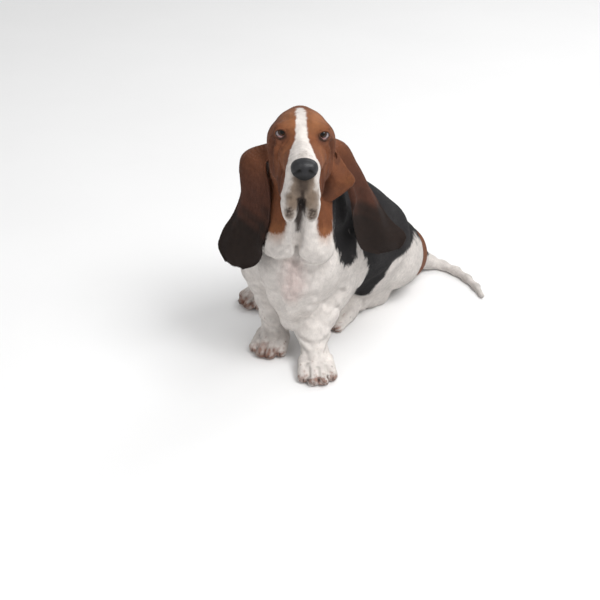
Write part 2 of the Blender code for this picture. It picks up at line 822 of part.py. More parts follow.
def rest_on_floor(nodes):
    """Moves every node so that the middle of the box round them is over the origin."""
    places = np.concatenate([coordinates(node.data) for node in nodes])
    low, high = places.min(axis=0), places.max(axis=0)
    move = Vector((-(low[0] + high[0]) / 2, -(low[1] + high[1]) / 2, -low[2]))
    for node in nodes:
        node.data.transform(Matrix.Translation(move))
    print("moved by", tuple(round(part, 5) for part in move))
    return move


def main():
    clear_scene()
    home = collection("basset_hound")
    cutters = collection("cutters")
    cutters.hide_render = True
    flesh = whole_flesh()
    hollows = head_hollows()
    whole = rough_mesh(flesh, cutters)
    settle(whole, flesh, hollows)
    nodes = part_flesh(whole, home, cutters)
    discard(whole)

    legs = [("fore_leg_", FORE_LEGS), ("hind_leg_", HIND_LEGS)]
    for prefix, group in legs:
        for side, leg in group.items():
            for claw in claw_shapes(leg["paw"], leg["heading"], cutters):
                combine(nodes[prefix + side], claw, "UNION")
                discard(claw)

    nose = nose_solid(home)
    around = grown(nose, 1.4 * GAP, cutters)
    combine(nodes["head"], around, "DIFFERENCE")
    discard(around)
    nodes["nose"] = nose
    for side, name in ((-1, "eye_right"), (1, "eye_left")):
        open_lids(nodes["head"], side, cutters)
        nodes[name] = ball_solid(name, eye_centre(side), (EYE_RADIUS,) * 3, eye_frame(side), home)
    keep_largest(nodes["head"])

    grown_nodes = {name: grown(nodes[name], 1.5 * GAP, cutters) for name in ("head", "neck", "torso")}
    for side, name in ((-1, "right"), (1, "left")):
        ear = ear_solid("ear_" + name, EARS[name], side, flesh, hollows, home)
        for around in grown_nodes.values():
            combine(ear, around, "DIFFERENCE")
        nodes["ear_" + name] = keep_largest(ear)
    discard(*grown_nodes.values())

    finishes = {"eye_left": "eye", "eye_right": "eye", "nose": "nose_leather", "torso": "dark_coat"}
    finishes.update({"ear_left": "tan_coat", "ear_right": "tan_coat", "head": "tan_coat"})
    for name, node in nodes.items():
        node.data.materials.clear()
        node.data.materials.append(material(finishes.get(name, "white_coat")))
    rest_on_floor(list(nodes.values()))


if __name__ == "__main__":
    main()
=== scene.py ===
"""The looks of a sitting basset hound: skin, short coat, eyes, nose and claws.

Metres, +Z up. The dog's own frame is the one in which its flesh was drawn; every piece is made
in it and then set down on the frame. The skin is one closed mesh that is settled a coat's depth
inside the line of the flesh, with the loose folds pressed in. Its markings are painted by
strokes in space, so that the skin and each tuft of the coat carry the same colours. Some of the
strokes are painted shade: in the creases of the face, under the nose, between the flews,
between the toes and low on three paws. One is painted light on the front fold of the left ear.
"""

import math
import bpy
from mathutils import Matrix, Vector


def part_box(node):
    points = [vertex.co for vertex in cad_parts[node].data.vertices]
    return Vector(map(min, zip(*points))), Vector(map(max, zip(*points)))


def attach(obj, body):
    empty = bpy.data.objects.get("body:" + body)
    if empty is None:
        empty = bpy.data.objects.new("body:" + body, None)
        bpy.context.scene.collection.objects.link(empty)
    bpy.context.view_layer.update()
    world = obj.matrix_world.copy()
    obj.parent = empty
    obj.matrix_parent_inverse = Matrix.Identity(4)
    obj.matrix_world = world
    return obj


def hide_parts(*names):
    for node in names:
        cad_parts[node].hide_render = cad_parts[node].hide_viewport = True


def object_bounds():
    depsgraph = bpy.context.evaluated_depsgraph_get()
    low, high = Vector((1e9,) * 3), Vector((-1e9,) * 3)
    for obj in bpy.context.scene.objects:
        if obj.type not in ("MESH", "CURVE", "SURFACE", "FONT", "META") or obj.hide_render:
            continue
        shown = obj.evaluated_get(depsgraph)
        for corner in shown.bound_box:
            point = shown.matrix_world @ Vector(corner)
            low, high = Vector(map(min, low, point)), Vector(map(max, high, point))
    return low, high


bl_info = {
    "name": "Basset hound",
    "version": (1, 0, 0),
    "blender": (4, 5, 0),
    "location": "View3D > Sidebar > Hound",
    "description": "Skin, coat, eyes, nose and claws of a sitting basset hound",
    "category": "Add Mesh",
}

import bmesh
import bpy
import numpy as np
from bpy.props import FloatProperty, FloatVectorProperty, IntProperty, PointerProperty
from mathutils import Matrix, Vector
from mathutils.kdtree import KDTree

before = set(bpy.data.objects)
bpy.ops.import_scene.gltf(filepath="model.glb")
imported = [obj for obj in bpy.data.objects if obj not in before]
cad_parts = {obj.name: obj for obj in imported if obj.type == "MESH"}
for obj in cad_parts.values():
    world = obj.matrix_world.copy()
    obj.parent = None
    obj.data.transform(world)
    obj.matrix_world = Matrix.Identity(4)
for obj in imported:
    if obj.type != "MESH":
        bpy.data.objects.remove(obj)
CAD_LOW, CAD_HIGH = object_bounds()

FLESH_NODES = (
    "head", "neck", "torso", "tail", "fore_leg_left", "fore_leg_right", "hind_leg_left",
    "hind_leg_right", "ear_left", "ear_right",
)
FACE_NODES = ("eye_left", "eye_right", "nose")


# The line of the flesh: cones and balls that melt into each other.


class Cone:
    """A round cone between two points, with rings of loose skin where they are asked for."""

    def __init__(self, start, end, start_radius, end_radius, blend=0.02, folds=0, fold_depth=0.0):
        self.start = np.array(start, float)
        self.end = np.array(end, float)
        self.radii = (start_radius, end_radius)
        self.blend = blend
        self.folds = folds
        self.fold_depth = fold_depth

    def distance(self, points):
        along = self.end - self.start
        share = np.clip((points - self.start) @ along / (along @ along), 0.0, 1.0)
        radius = self.radii[0] + share * (self.radii[1] - self.radii[0])
        if self.folds:
            wave = np.cos(2 * math.pi * self.folds * share)
            radius = radius + self.fold_depth * (wave - np.abs(wave) ** 3 * 0.5)
        return np.linalg.norm(points - self.start - share[:, None] * along, axis=1) - radius

    def beads(self):
        length = np.linalg.norm(self.end - self.start)
        for share in np.linspace(0.0, 1.0, 2 + int(length / (0.5 * min(self.radii)))):
            radius = self.radii[0] + share * (self.radii[1] - self.radii[0])
            yield self.start + share * (self.end - self.start), (radius,) * 3, Matrix.Identity(3)


class Ball:
    """An ellipsoid, turned by a 3 x 3 matrix."""

    def __init__(self, centre, radii, blend=0.02, turn=None):
        self.centre = np.array(centre, float)
        self.radii = np.array(radii, float)
        self.blend = blend
        self.turn = turn or Matrix.Identity(3)

    def distance(self, points):
        local = (points - self.centre) @ np.array(self.turn) / self.radii
        size = np.linalg.norm(local, axis=1)
        slope = np.linalg.norm(local / self.radii, axis=1) + 1e-12
        return size * (size - 1.0) / slope

    def beads(self):
        yield self.centre, tuple(self.radii), self.turn


class Lump:
    """Several cones and balls that melt into each other as one muscle."""

    def __init__(self, muscles, blend=0.01):
        self.muscles = muscles
        self.blend = blend

    def distance(self, points):
        return flesh_distance(points, self.muscles)

    def beads(self):
        for muscle in self.muscles:
            yield from muscle.beads()


def melt(first, second, blend):
    """The smooth union of two distances."""
    share = np.clip(0.5 + 0.5 * (first - second) / blend, 0.0, 1.0)
    return first + share * (second - first) - blend * share * (1.0 - share)


def flesh_distance(points, flesh, hollows=()):
    found = flesh[0].distance(points)
    for muscle in flesh[1:]:
        found = melt(found, muscle.distance(points), muscle.blend)
    for hollow in hollows:
        found = -melt(-found, hollow.distance(points), hollow.blend)
    return found


CELL = 0.06
PROBES = np.array([(0, 0, 0), (1, 1, 1), (1, -1, -1), (-1, 1, -1), (-1, -1, 1)], float)


def slopes(points, flesh, hollows=()):
    """The distance from the flesh's line and its gradient, cell by cell with the muscles near it."""
    step = 0.0003
    keys, member = np.unique(np.floor(points / CELL).astype(int), axis=0, return_inverse=True)
    member = member.ravel()
    order = np.argsort(member, kind="stable")
    starts = np.searchsorted(member[order], np.arange(len(keys) + 1))
    centres = (keys + 0.5) * CELL
    far = np.array([muscle.distance(centres) for muscle in flesh])
    near = far < far.min(axis=0) + 1.75 * CELL + 0.05
    found = np.empty(len(points))
    gradient = np.empty_like(points)
    for cell in range(len(keys)):
        chosen = order[starts[cell]:starts[cell + 1]]
        muscles = [muscle for muscle, close in zip(flesh, near[:, cell]) if close]
        spread = (points[chosen][None] + step * PROBES[:, None]).reshape(-1, 3)
        values = flesh_distance(spread, muscles, hollows).reshape(5, -1)
        found[chosen] = values[0]
        gradient[chosen] = np.einsum("pn,pk->nk", values[1:], PROBES[1:]) / (4 * step)
    return found, gradient


# The landmarks of the sitting dog, the same as those of its solids.

WITHERS = Vector((0.040, 0.070, 0.322))
NECK_BASE = Vector((0.020, 0.048, 0.320))
NECK_TOP = Vector((0.015, 0.015, 0.460))
CHEST = Vector((0.016, 0.048, 0.228))
FORECHEST = Vector((0.006, -0.038, 0.228))
RIBS = Vector((0.090, 0.124, 0.220))
LOIN = Vector((0.144, 0.180, 0.166))
PELVIS = Vector((0.194, 0.262, 0.104))
RUMP = Vector((0.228, 0.324, 0.064))
TAIL_ROOT = Vector((0.276, 0.358, 0.034))
EYE_LINE = Vector((0.016, -0.092, 0.520))
HEAD_PITCH, HEAD_TURN, HEAD_TIP = 12.0, 2.4, 2.0
EYE_SPREAD, EYE_DROP, EYE_RADIUS, LID_RADIUS = 0.0355, 0.0010, 0.0125, 0.0148
LIP_SWING = -0.0030
LID_WIDTH, LID_ABOVE, LID_BELOW, LID_LEVEL = 0.0093, 0.0078, 0.0074, 0.0000
LID_ARCH, LID_POINT = 2.0, 1.45
TAIL_LINE = (
    TAIL_ROOT,
    Vector((0.300, 0.372, 0.018)),
    Vector((0.330, 0.368, 0.0116)),
    Vector((0.358, 0.344, 0.0099)),
    Vector((0.380, 0.312, 0.0087)),
    Vector((0.396, 0.276, 0.0076)),
    Vector((0.404, 0.240, 0.0065)),
)
TAIL_RADII = (0.0205, 0.0130, 0.0106, 0.0096, 0.0086, 0.0075, 0.0062)
FORE_LEGS = {
    "left": dict(
        shoulder=(0.082, 0.036, 0.258), elbow=(0.088, 0.052, 0.158), wrist=(0.038, -0.008, 0.064),
        paw=(0.0425, -0.047), heading=Vector((0.10, -0.995, 0.0)).normalized(),
    ),
    "right": dict(
        shoulder=(-0.048, 0.062, 0.256), elbow=(-0.064, 0.092, 0.158), wrist=(-0.038, 0.072, 0.064),
        paw=(-0.042, 0.049), heading=Vector((-0.30, -0.954, 0.0)).normalized(),
    ),
}
HIND_LEGS = {
    "left": dict(
        hip=(0.204, 0.244, 0.092), knee=(0.144, 0.172, 0.090), hock=(0.176, 0.228, 0.0203),
        paw=(0.100, 0.146), heading=Vector((-0.76, -0.65, 0.0)).normalized(),
    ),
    "right": dict(
        hip=(0.134, 0.336, 0.096), knee=(0.046, 0.294, 0.096), hock=(0.056, 0.322, 0.0203),
        paw=(-0.062, 0.232), heading=Vector((-0.80, -0.60, 0.0)).normalized(),
    ),
}
TOES = (-1.5, -0.5, 0.5, 1.5)
TOE_GAP, TOE_REACH = 0.0172, 0.048

HEAD = Matrix.Translation(EYE_LINE) @ (
    Matrix.Rotation(math.radians(HEAD_TURN), 3, "Z")
    @ Matrix.Rotation(math.radians(-HEAD_PITCH), 3, "X")
    @ Matrix.Rotation(math.radians(HEAD_TIP), 3, "Y")
).to_4x4()


def on_head(x, y, z):
    """A point from the head's own axes, x left, y back and z up."""
    return HEAD @ Vector((x, y, z))


def head_ball(centre, radii, blend):
    return Ball(on_head(*centre), radii, blend, HEAD.to_3x3())


def head_cone(start, end, start_radius, end_radius, blend):
    return Cone(on_head(*start), on_head(*end), start_radius, end_radius, blend)


def eye_centre(side):
    return on_head(side * EYE_SPREAD, 0.0040, -side * EYE_DROP)


def eye_frame(side):
    return HEAD.to_3x3() @ Matrix.Rotation(math.radians(side * 14), 3, "Z")


def head_flesh():
    flesh = [
        head_ball((0.0, 0.062, -0.008), (0.0510, 0.066, 0.0440), 0.02),
        head_ball((0.0, 0.020, -0.002), (0.044, 0.038, 0.032), 0.02),
        head_cone((0.0, 0.100, 0.012), (0.0, 0.118, 0.014), 0.018, 0.012, 0.02),
        head_cone((0.0, 0.000, -0.025), (0.0, -0.088, -0.0375), 0.0265, 0.0210, 0.014),
        head_ball((0.0, -0.098, -0.058), (0.0225, 0.014, 0.035), 0.010),
    ]
    for side in (-1, 1):
        lip = [
            head_ball((side * 0.0172 + LIP_SWING, -0.086, -0.070), (0.0102, 0.020, 0.037), 0.02),
            head_ball((side * 0.0180 + LIP_SWING, -0.072, -0.096), (0.0094, 0.024, 0.034), 0.02),
            head_ball((side * 0.0184 + LIP_SWING, -0.072, -0.1165), (0.0096, 0.022, 0.0215), 0.02),
            head_ball((side * 0.0196 + LIP_SWING, -0.036, -0.093), (0.0104, 0.034, 0.038), 0.02),
            head_ball((side * 0.0275, -0.004, -0.078), (0.0130, 0.032, 0.034), 0.02),
        ]
        flesh += [
            head_ball((side * 0.0345, 0.040, -0.050), (0.024, 0.048, 0.046), 0.025),
            head_cone(
                (side * 0.0230, 0.010, -0.034), (side * 0.0110, -0.084, -0.046), 0.0235, 0.0165, 0.014
            ),
            head_ball((side * 0.0430, 0.034, -0.016), (0.014, 0.034, 0.020), 0.02),
            head_ball((side * 0.031, 0.000, 0.0115), (0.017, 0.012, 0.0085), 0.012),
            Lump(lip, 0.009),
            Ball(eye_centre(side), (LID_RADIUS,) * 3, 0.006),
        ]
    flesh.append(head_cone((0.002, -0.072, -0.098), (0.0, 0.020, -0.102), 0.0110, 0.024, 0.004))
    return flesh


def head_hollows():
    """The groove below the nose."""
    return [head_cone((0.0, -0.116, -0.066), (LIP_SWING, -0.110, -0.104), 0.0006, 0.0036, 0.005)]


def lid_turn(side):
    """The axes of the opening between the lids, tipped down at its outer corner."""
    return eye_frame(side) @ Matrix.Rotation(math.radians(side * 13), 3, "Y")


def lid_share(points, side):
    """How far out each point is in the opening of the lids, 1 on its edge."""
    local = (points - np.array(eye_centre(side)[:])) @ np.array(lid_turn(side))
    level = local[:, 2] - LID_LEVEL
    height = np.where(level > 0, LID_ABOVE, LID_BELOW)
    power = np.where(level > 0, LID_ARCH, LID_POINT)
    share = ((np.abs(local[:, 0]) / LID_WIDTH) ** power + (np.abs(level) / height) ** power) ** (1 / power)
    return np.where(local[:, 1] < 0, share, 9.0)


def lid_edge(side, angle, reach):
    """A point of the edge of the lids, at a distance from the middle of the eye."""
    above = math.sin(angle) > 0
    height, power = (LID_ABOVE, LID_ARCH) if above else (LID_BELOW, LID_POINT)
    x = math.copysign(abs(math.cos(angle)) ** (2 / power), math.cos(angle)) * LID_WIDTH
    z = math.copysign(abs(math.sin(angle)) ** (2 / power), math.sin(angle)) * height + LID_LEVEL
    y = -math.sqrt(max(reach * reach - x * x - z * z, 1e-8))
    return eye_centre(side) + lid_turn(side) @ Vector((x, y, z))


def neck_flesh():
    return [
        Cone(NECK_BASE, NECK_TOP, 0.070, 0.050, 0.035),
        Cone((-0.020, -0.042, 0.425), (-0.029, -0.080, 0.304), 0.022, 0.032, 0.012),
        Cone((0.046, -0.042, 0.420), (0.043, -0.080, 0.294), 0.022, 0.034, 0.012),
        Cone((0.010, -0.015, 0.425), (0.007, -0.038, 0.330), 0.044, 0.050, 0.025),
        Cone((-0.034, -0.014, 0.432), (-0.042, -0.012, 0.330), 0.024, 0.032, 0.035),
        Cone((0.060, -0.012, 0.430), (0.066, -0.008, 0.330), 0.024, 0.032, 0.035),
        Cone((0.014, -0.030, 0.450), (0.012, -0.050, 0.390), 0.040, 0.040, 0.03),
    ]


def torso_flesh():
    front = Matrix.Rotation(math.radians(-15), 3, "Z")
    side = Matrix.Rotation(math.radians(-43), 3, "Z")
    sloped = side @ Matrix.Rotation(math.radians(-42), 3, "X")
    return [
        Ball(CHEST, (0.098, 0.098, 0.120), 0.03, front),
        Ball(FORECHEST, (0.070, 0.048, 0.068), 0.045),
        Cone(WITHERS, RIBS, 0.048, 0.082, 0.06),
        Ball(RIBS, (0.088, 0.096, 0.090), 0.045, sloped),
        Cone(RIBS, LOIN, 0.084, 0.072, 0.045),
        Cone((0.112, 0.128, 0.260), (0.170, 0.198, 0.192), 0.061, 0.059, 0.045),
        Cone(LOIN, PELVIS, 0.072, 0.060, 0.045),
        Cone(PELVIS, RUMP, 0.060, 0.046, 0.045),
        Ball(PELVIS, (0.062, 0.068, 0.062), 0.035, sloped),
        Ball(RUMP, (0.048, 0.047, 0.062), 0.03, side),
        Cone(PELVIS, HIND_LEGS["right"]["hip"], 0.054, 0.050, 0.045),
        Cone(RUMP, HIND_LEGS["right"]["hip"], 0.044, 0.044, 0.045),
        Cone(RUMP, HIND_LEGS["left"]["hip"], 0.042, 0.042, 0.035),
        Cone((0.000, -0.012, 0.150), (-0.002, 0.006, 0.092), 0.046, 0.024, 0.03),
        Cone((0.010, 0.040, 0.120), (0.070, 0.120, 0.105), 0.040, 0.055, 0.03),
        Cone(TAIL_ROOT, TAIL_LINE[1], 0.024, 0.017, 0.025),
    ]


def toe_line(paw, heading, toe):
    """Knuckle and tip of one toe."""
    left = Vector((-heading.y, heading.x, 0.0))
    place = Vector((paw[0], paw[1], 0.0))
    outer = abs(toe) - 0.5
    knuckle = place + left * (toe * TOE_GAP * 0.88) + heading * (0.008 - 0.008 * outer)
    tip = place + left * (toe * TOE_GAP * 1.06) + heading * (TOE_REACH - 0.013 * outer)
    return knuckle + Vector((0, 0, 0.029 - 0.004 * outer)), tip + Vector((0, 0, 0.0112))


def paw_flesh(paw, heading):
    turn = Matrix.Rotation(math.atan2(heading.x, -heading.y), 3, "Z")
    flesh = [Ball((paw[0], paw[1], 0.0200), (0.0310, 0.034, 0.0245), 0.010, turn)]
    for toe in TOES:
        knuckle, tip = toe_line(paw, heading, toe)
        flesh.append(Cone(knuckle, tip, 0.0132, 0.0128, 0.0045))
    return flesh


def foreleg_flesh(shoulder, elbow, wrist, paw, heading):
    knuckle = Vector((paw[0], paw[1], 0.030)) - 0.012 * heading
    return [
        Cone(shoulder, elbow, 0.046, 0.038, 0.03),
        Cone(elbow, wrist, 0.038, 0.0300, 0.020, folds=3, fold_depth=0.0012),
        Cone(wrist, knuckle, 0.0290, 0.0270, 0.012, folds=1, fold_depth=0.0012),
        *paw_flesh(paw, heading),
    ]


def hind_leg_flesh(hip, knee, hock, paw, heading):
    middle = Vector(hip) * 0.5 + Vector(knee) * 0.5 + Vector((-0.010, 0.016, 0.0))
    instep = Vector((paw[0], paw[1], 0.032)) - 0.020 * heading
    return [
        Cone(hip, knee, 0.047, 0.041, 0.035),
        Cone(knee, hock, 0.036, 0.021, 0.018),
        Ball((middle.x, middle.y, 0.040), (0.032, 0.032, 0.043), 0.025),
        Cone(hock, instep, 0.0220, 0.0235, 0.018, folds=3, fold_depth=0.0018),
        *paw_flesh(paw, heading),
    ]


def tail_flesh():
    links = zip(TAIL_LINE, TAIL_LINE[1:], TAIL_RADII, TAIL_RADII[1:])
    return [Cone(start, end, thick, thin, 0.010) for start, end, thick, thin in links]


def whole_flesh():
    flesh = [*torso_flesh(), *neck_flesh(), *head_flesh(), *tail_flesh()]
    for leg in FORE_LEGS.values():
        flesh += foreleg_flesh(**leg)
    for leg in HIND_LEGS.values():
        flesh += hind_leg_flesh(**leg)
    return flesh


def place_of_dog():
    """How far the frame's dog stands from the drawing of its flesh: the solids' left eye tells."""
    low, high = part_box("eye_left")
    return (low + high) / 2 - eye_centre(1)


SET_DOWN = place_of_dog()


# Mesh helpers.


def deselect_all():
    if bpy.context.object and bpy.context.object.mode != "OBJECT":
        bpy.ops.object.mode_set(mode="OBJECT")
    bpy.ops.object.select_all(action="DESELECT")


def make_active(obj):
    deselect_all()
    obj.select_set(True)
    bpy.context.view_layer.objects.active = obj
    return obj


def apply_modifiers(obj):
    make_active(obj)
    for modifier in list(obj.modifiers):
        bpy.ops.object.modifier_apply(modifier=modifier.name)
    return obj


def object_from(name, points, faces, smooth=True):
    mesh = bpy.data.meshes.new(name)
    mesh.from_pydata(np.asarray(points).tolist(), [], faces)
    mesh.update()
    if smooth:
        mesh.polygons.foreach_set("use_smooth", [True] * len(mesh.polygons))
    made = bpy.data.objects.new(name, mesh)
    bpy.context.scene.collection.objects.link(made)
    return made


def coordinates(mesh):
    places = np.empty(len(mesh.vertices) * 3, np.float32)
    mesh.vertices.foreach_get("co", places)
    return places.reshape(-1, 3).astype(float)


def set_coordinates(mesh, places):
    mesh.vertices.foreach_set("co", places.astype(np.float32).ravel())
    mesh.update()


def edge_pairs(mesh):
    lines = np.empty(len(mesh.edges) * 2, np.int64)
    mesh.edges.foreach_get("vertices", lines)
    return lines.reshape(-1, 2)


def evened(places, lines, weight=0.5):
    """Each point drawn towards the middle of its neighbours."""
    total = np.zeros_like(places)
    np.add.at(total, lines[:, 0], places[lines[:, 1]])
    np.add.at(total, lines[:, 1], places[lines[:, 0]])
    ends = np.bincount(lines.ravel(), minlength=len(places))[:, None]
    weight = np.asarray(weight)
    weight = weight[:, None] if weight.ndim else weight
    return places + weight * (total / np.maximum(ends, 1) - places)


def rough_skin(name, flesh, voxel):
    """Balls all through the flesh, made one closed mesh by a voxel remesh."""
    shape = bmesh.new()
    bmesh.ops.create_uvsphere(shape, u_segments=16, v_segments=10, radius=1.0)
    shape.verts.index_update()
    ball = np.array([vert.co[:] for vert in shape.verts])
    sides = [[vert.index for vert in face.verts] for face in shape.faces]
    shape.free()
    places, faces = [], []
    for muscle in flesh:
        for centre, radii, turn in muscle.beads():
            first = len(places) * len(ball)
            places.append(ball * np.array(radii) @ np.array(turn).T + np.array(centre))
            faces += [[first + corner for corner in side] for side in sides]
    made = object_from(name, np.concatenate(places), faces)
    remesh = made.modifiers.new("one skin", "REMESH")
    remesh.mode = "VOXEL"
    remesh.voxel_size = voxel
    return apply_modifiers(made)


def settle(obj, flesh, hollows, depth, rounds=4):
    """Moves a closed mesh to a depth below the flesh's line, evening it out between the moves."""
    places = coordinates(obj.data)
    lines = edge_pairs(obj.data)
    for number in range(rounds):
        found, slope = slopes(places, flesh, hollows)
        steep = np.sum(slope * slope, axis=1) + 1e-6
        move = np.clip((found + depth) / steep, -0.01, 0.01)
        places -= move[:, None] * slope
        if number + 1 < rounds:
            places = evened(evened(places, lines), lines)
    set_coordinates(obj.data, places)
    return slope / np.sqrt(steep)[:, None]


def segment_distance(points, line):
    """Distance from each point to a line of (x, y, z, radius) stations, less the radius there."""
    line = np.asarray(line, float)
    if len(line) == 1:
        return np.linalg.norm(points - line[0, :3], axis=1) - line[0, 3]
    best = np.full(len(points), 1e9)
    for start, end in zip(line, line[1:]):
        along = end[:3] - start[:3]
        share = np.clip((points - start[:3]) @ along / max(along @ along, 1e-12), 0.0, 1.0)
        away = np.linalg.norm(points - start[:3] - share[:, None] * along, axis=1)
        best = np.minimum(best, away - start[3] - share * (end[3] - start[3]))
    return best


def ramp(values, low, high):
    """A smooth step from 0 at low to 1 at high."""
    share = np.clip((values - low) / (high - low), 0.0, 1.0)
    return share * share * (3 - 2 * share)


def wobble(points, size, seed):
    """Smooth noise between about -1 and 1, with bumps of the given size in metres."""
    draw = np.random.default_rng(seed)
    total = np.zeros(len(points))
    for _ in range(7):
        wave = draw.normal(size=3)
        wave *= 2 * math.pi / (size * draw.uniform(0.8, 2.2)) / np.linalg.norm(wave)
        total += np.sin(points @ wave + draw.uniform(0, 2 * math.pi))
    return total / 3.2


# The ears: hanging sheets between a front and a back edge.


class EarRow:
    """One row across an ear: its front and back edges and how far it bows out between them."""

    def __init__(self, front, back, bow):
        self.front = Vector(front)
        self.back = Vector(back)
        self.bow = bow


EARS = {
    "right": (
        EarRow((-0.034, -0.070, 0.474), (-0.022, -0.014, 0.474), 0.06),
        EarRow((-0.047, -0.074, 0.456), (-0.080, -0.022, 0.458), 0.30),
        EarRow((-0.044, -0.080, 0.425), (-0.096, -0.030, 0.428), 0.24),
        EarRow((-0.043, -0.088, 0.380), (-0.098, -0.030, 0.380), 0.16),
        EarRow((-0.045, -0.092, 0.330), (-0.111, -0.033, 0.336), 0.12),
        EarRow((-0.056, -0.094, 0.290), (-0.132, -0.040, 0.303), 0.10),
        EarRow((-0.072, -0.090, 0.262), (-0.141, -0.050, 0.276), 0.08),
        EarRow((-0.094, -0.082, 0.249), (-0.126, -0.064, 0.255), 0.06),
    ),
    "left": (
        EarRow((0.052, -0.078, 0.494), (0.050, -0.014, 0.482), 0.06),
        EarRow((0.064, -0.066, 0.478), (0.090, -0.016, 0.470), 0.24),
        EarRow((0.071, -0.070, 0.448), (0.114, -0.012, 0.431), 0.20),
        EarRow((0.089, -0.068, 0.415), (0.131, -0.006, 0.391), 0.18),
        EarRow((0.101, -0.058, 0.377), (0.149, -0.003, 0.361), 0.14),
        EarRow((0.109, -0.050, 0.343), (0.168, -0.002, 0.332), 0.12),
        EarRow((0.118, -0.042, 0.296), (0.186, -0.001, 0.302), 0.10),
        EarRow((0.130, -0.034, 0.266), (0.210, 0.000, 0.275), 0.08),
        EarRow((0.162, -0.024, 0.248), (0.203, -0.004, 0.251), 0.06),
    ),
}
EAR_ACROSS, EAR_DOWN, EAR_ROLL = 26, 64, 5


def between(values, share):
    """A smooth curve through evenly spaced values, at a share of its length."""
    place = share * (len(values) - 1)
    index = min(int(place), len(values) - 2)
    t = place - index
    before, after = values[max(index - 1, 0)], values[min(index + 2, len(values) - 1)]
    first, second = values[index], values[index + 1]
    return (
        first
        + (second - before) * (0.5 * t)
        + (before * 2 - first * 5 + second * 4 - after) * (0.5 * t * t)
        + (first * 3 - second * 3 - before + after) * (0.5 * t * t * t)
    )


def hump(value, low, high):
    """1 in the middle between low and high, 0 outside them."""
    share = min(max((value - low) / (high - low), 0.0), 1.0)
    return math.sin(math.pi * share) ** 2


def ear_grid(side):
    """Middle points, outward directions, shares down and across of one ear, row by row."""
    name = "left" if side > 0 else "right"
    rows = EARS[name]
    fronts, backs, bows = ([getattr(row, kind) for row in rows] for kind in ("front", "back", "bow"))
    points, outwards, downs, acrosses = [], [], [], []
    for line in range(EAR_DOWN):
        s = line / (EAR_DOWN - 1)
        front, back, bow = (between(kind, s) for kind in (fronts, backs, bows))
        chord = back - front
        along = between(fronts, min(s + 0.05, 1)) - between(fronts, max(s - 0.05, 0))
        outward = chord.cross(along).normalized()
        if outward.dot(Vector((side, -0.6, 0.1))) < 0:
            outward = -outward
        folded = hump(s, 0.22, 0.66) if side > 0 else 0.25 * hump(s, 0.05, 0.5)
        roll = 0.0022 + 0.0042 * folded
        turn = math.radians(95 + 95 * folded)
        inward = chord.normalized()
        for step in range(-EAR_ROLL, EAR_ACROSS + EAR_ROLL):
            t = min(max(step / (EAR_ACROSS - 1), 0.0), 1.0)
            ripple = 0.0048 * hump(s, 0.05, 1.3) * math.sin(2 * math.pi * (1.35 * t + 0.45 * s + 0.1))
            ruffle = 0.0030 * abs(2 * t - 1) ** 3 * math.sin(2 * math.pi * (2.3 * s + 0.2 * side))
            lift = bow * chord.length * 4 * t * (1 - t) + (ripple + ruffle) * min(1.0, 6 * s)
            place = front + chord * t + outward * lift
            facing = outward
            if step < 0:
                angle = turn * -step / EAR_ROLL
                place = place - inward * (roll * math.sin(angle)) + outward * (roll * (1 - math.cos(angle)))
                facing = outward * math.cos(angle) + inward * math.sin(angle)
            elif step >= EAR_ACROSS:
                angle = math.radians(80) * (step - EAR_ACROSS + 1) / EAR_ROLL
                place = place + inward * (0.002 * math.sin(angle)) - outward * (0.002 * (1 - math.cos(angle)))
                facing = outward * math.cos(angle) + inward * math.sin(angle)
            points.append(place[:])
            outwards.append(facing[:])
            downs.append(s)
            acrosses.append(step / (EAR_ACROSS - 1))
    return np.array(points), np.array(outwards), np.array(downs), np.array(acrosses)


class Ear:
    """The points of one ear, kept for its markings and for the lie of its coat."""

    def __init__(self, side, flesh, hollows):
        self.side = side
        self.points, self.outward, self.down, self.across = ear_grid(side)
        free = np.clip((self.down - 0.10) / 0.10, 0.0, 1.0)
        for _ in range(6):
            found, slope = slopes(self.points, flesh, hollows)
            short = np.clip(0.0052 - found, 0.0, 0.012) * free
            self.points += short[:, None] * slope
        width = EAR_ACROSS + 2 * EAR_ROLL
        grid = self.points.reshape(EAR_DOWN, width, 3)
        self.flow = np.gradient(grid, axis=0).reshape(-1, 3)
        self.flow /= np.linalg.norm(self.flow, axis=1)[:, None] + 1e-12
        self.tree = KDTree(len(self.points))
        for index, point in enumerate(self.points):
            self.tree.insert(point, index)
        self.tree.balance()

    def solid(self):
        """The ear as a closed sheet, thick at its root and thin at its rim."""
        half = 0.0011 + 0.0006 * np.clip(1 - 4 * self.down, 0, 1) + 0.0004 * np.clip(self.across, 0, 1)
        return sheet_solid("ear", self.points, self.outward, half, EAR_DOWN, EAR_ACROSS + 2 * EAR_ROLL)


def sheet_solid(name, points, outward, half, rows, columns):
    """A closed sheet about a grid of middle points."""
    outer, inner = points + outward * half[:, None], points - outward * half[:, None]
    count = len(points)
    faces = []
    for line in range(rows - 1):
        for step in range(columns - 1):
            a = line * columns + step
            b, c, d = a + 1, a + columns + 1, a + columns
            faces.append((a, b, c, d))
            faces.append((a + count, d + count, c + count, b + count))
    rim = list(range(columns))
    rim += [line * columns + columns - 1 for line in range(1, rows)]
    rim += [(rows - 1) * columns + step for step in range(columns - 2, -1, -1)]
    rim += [line * columns for line in range(rows - 2, 0, -1)]
    for a, b in zip(rim, rim[1:] + rim[:1]):
        faces.append((b, a, a + count, b + count))
    made = object_from(name, np.concatenate([outer, inner]), faces)
    shape = bmesh.new()
    shape.from_mesh(made.data)
    bmesh.ops.recalc_face_normals(shape, faces=shape.faces)
    shape.to_mesh(made.data)
    shape.free()
    return made


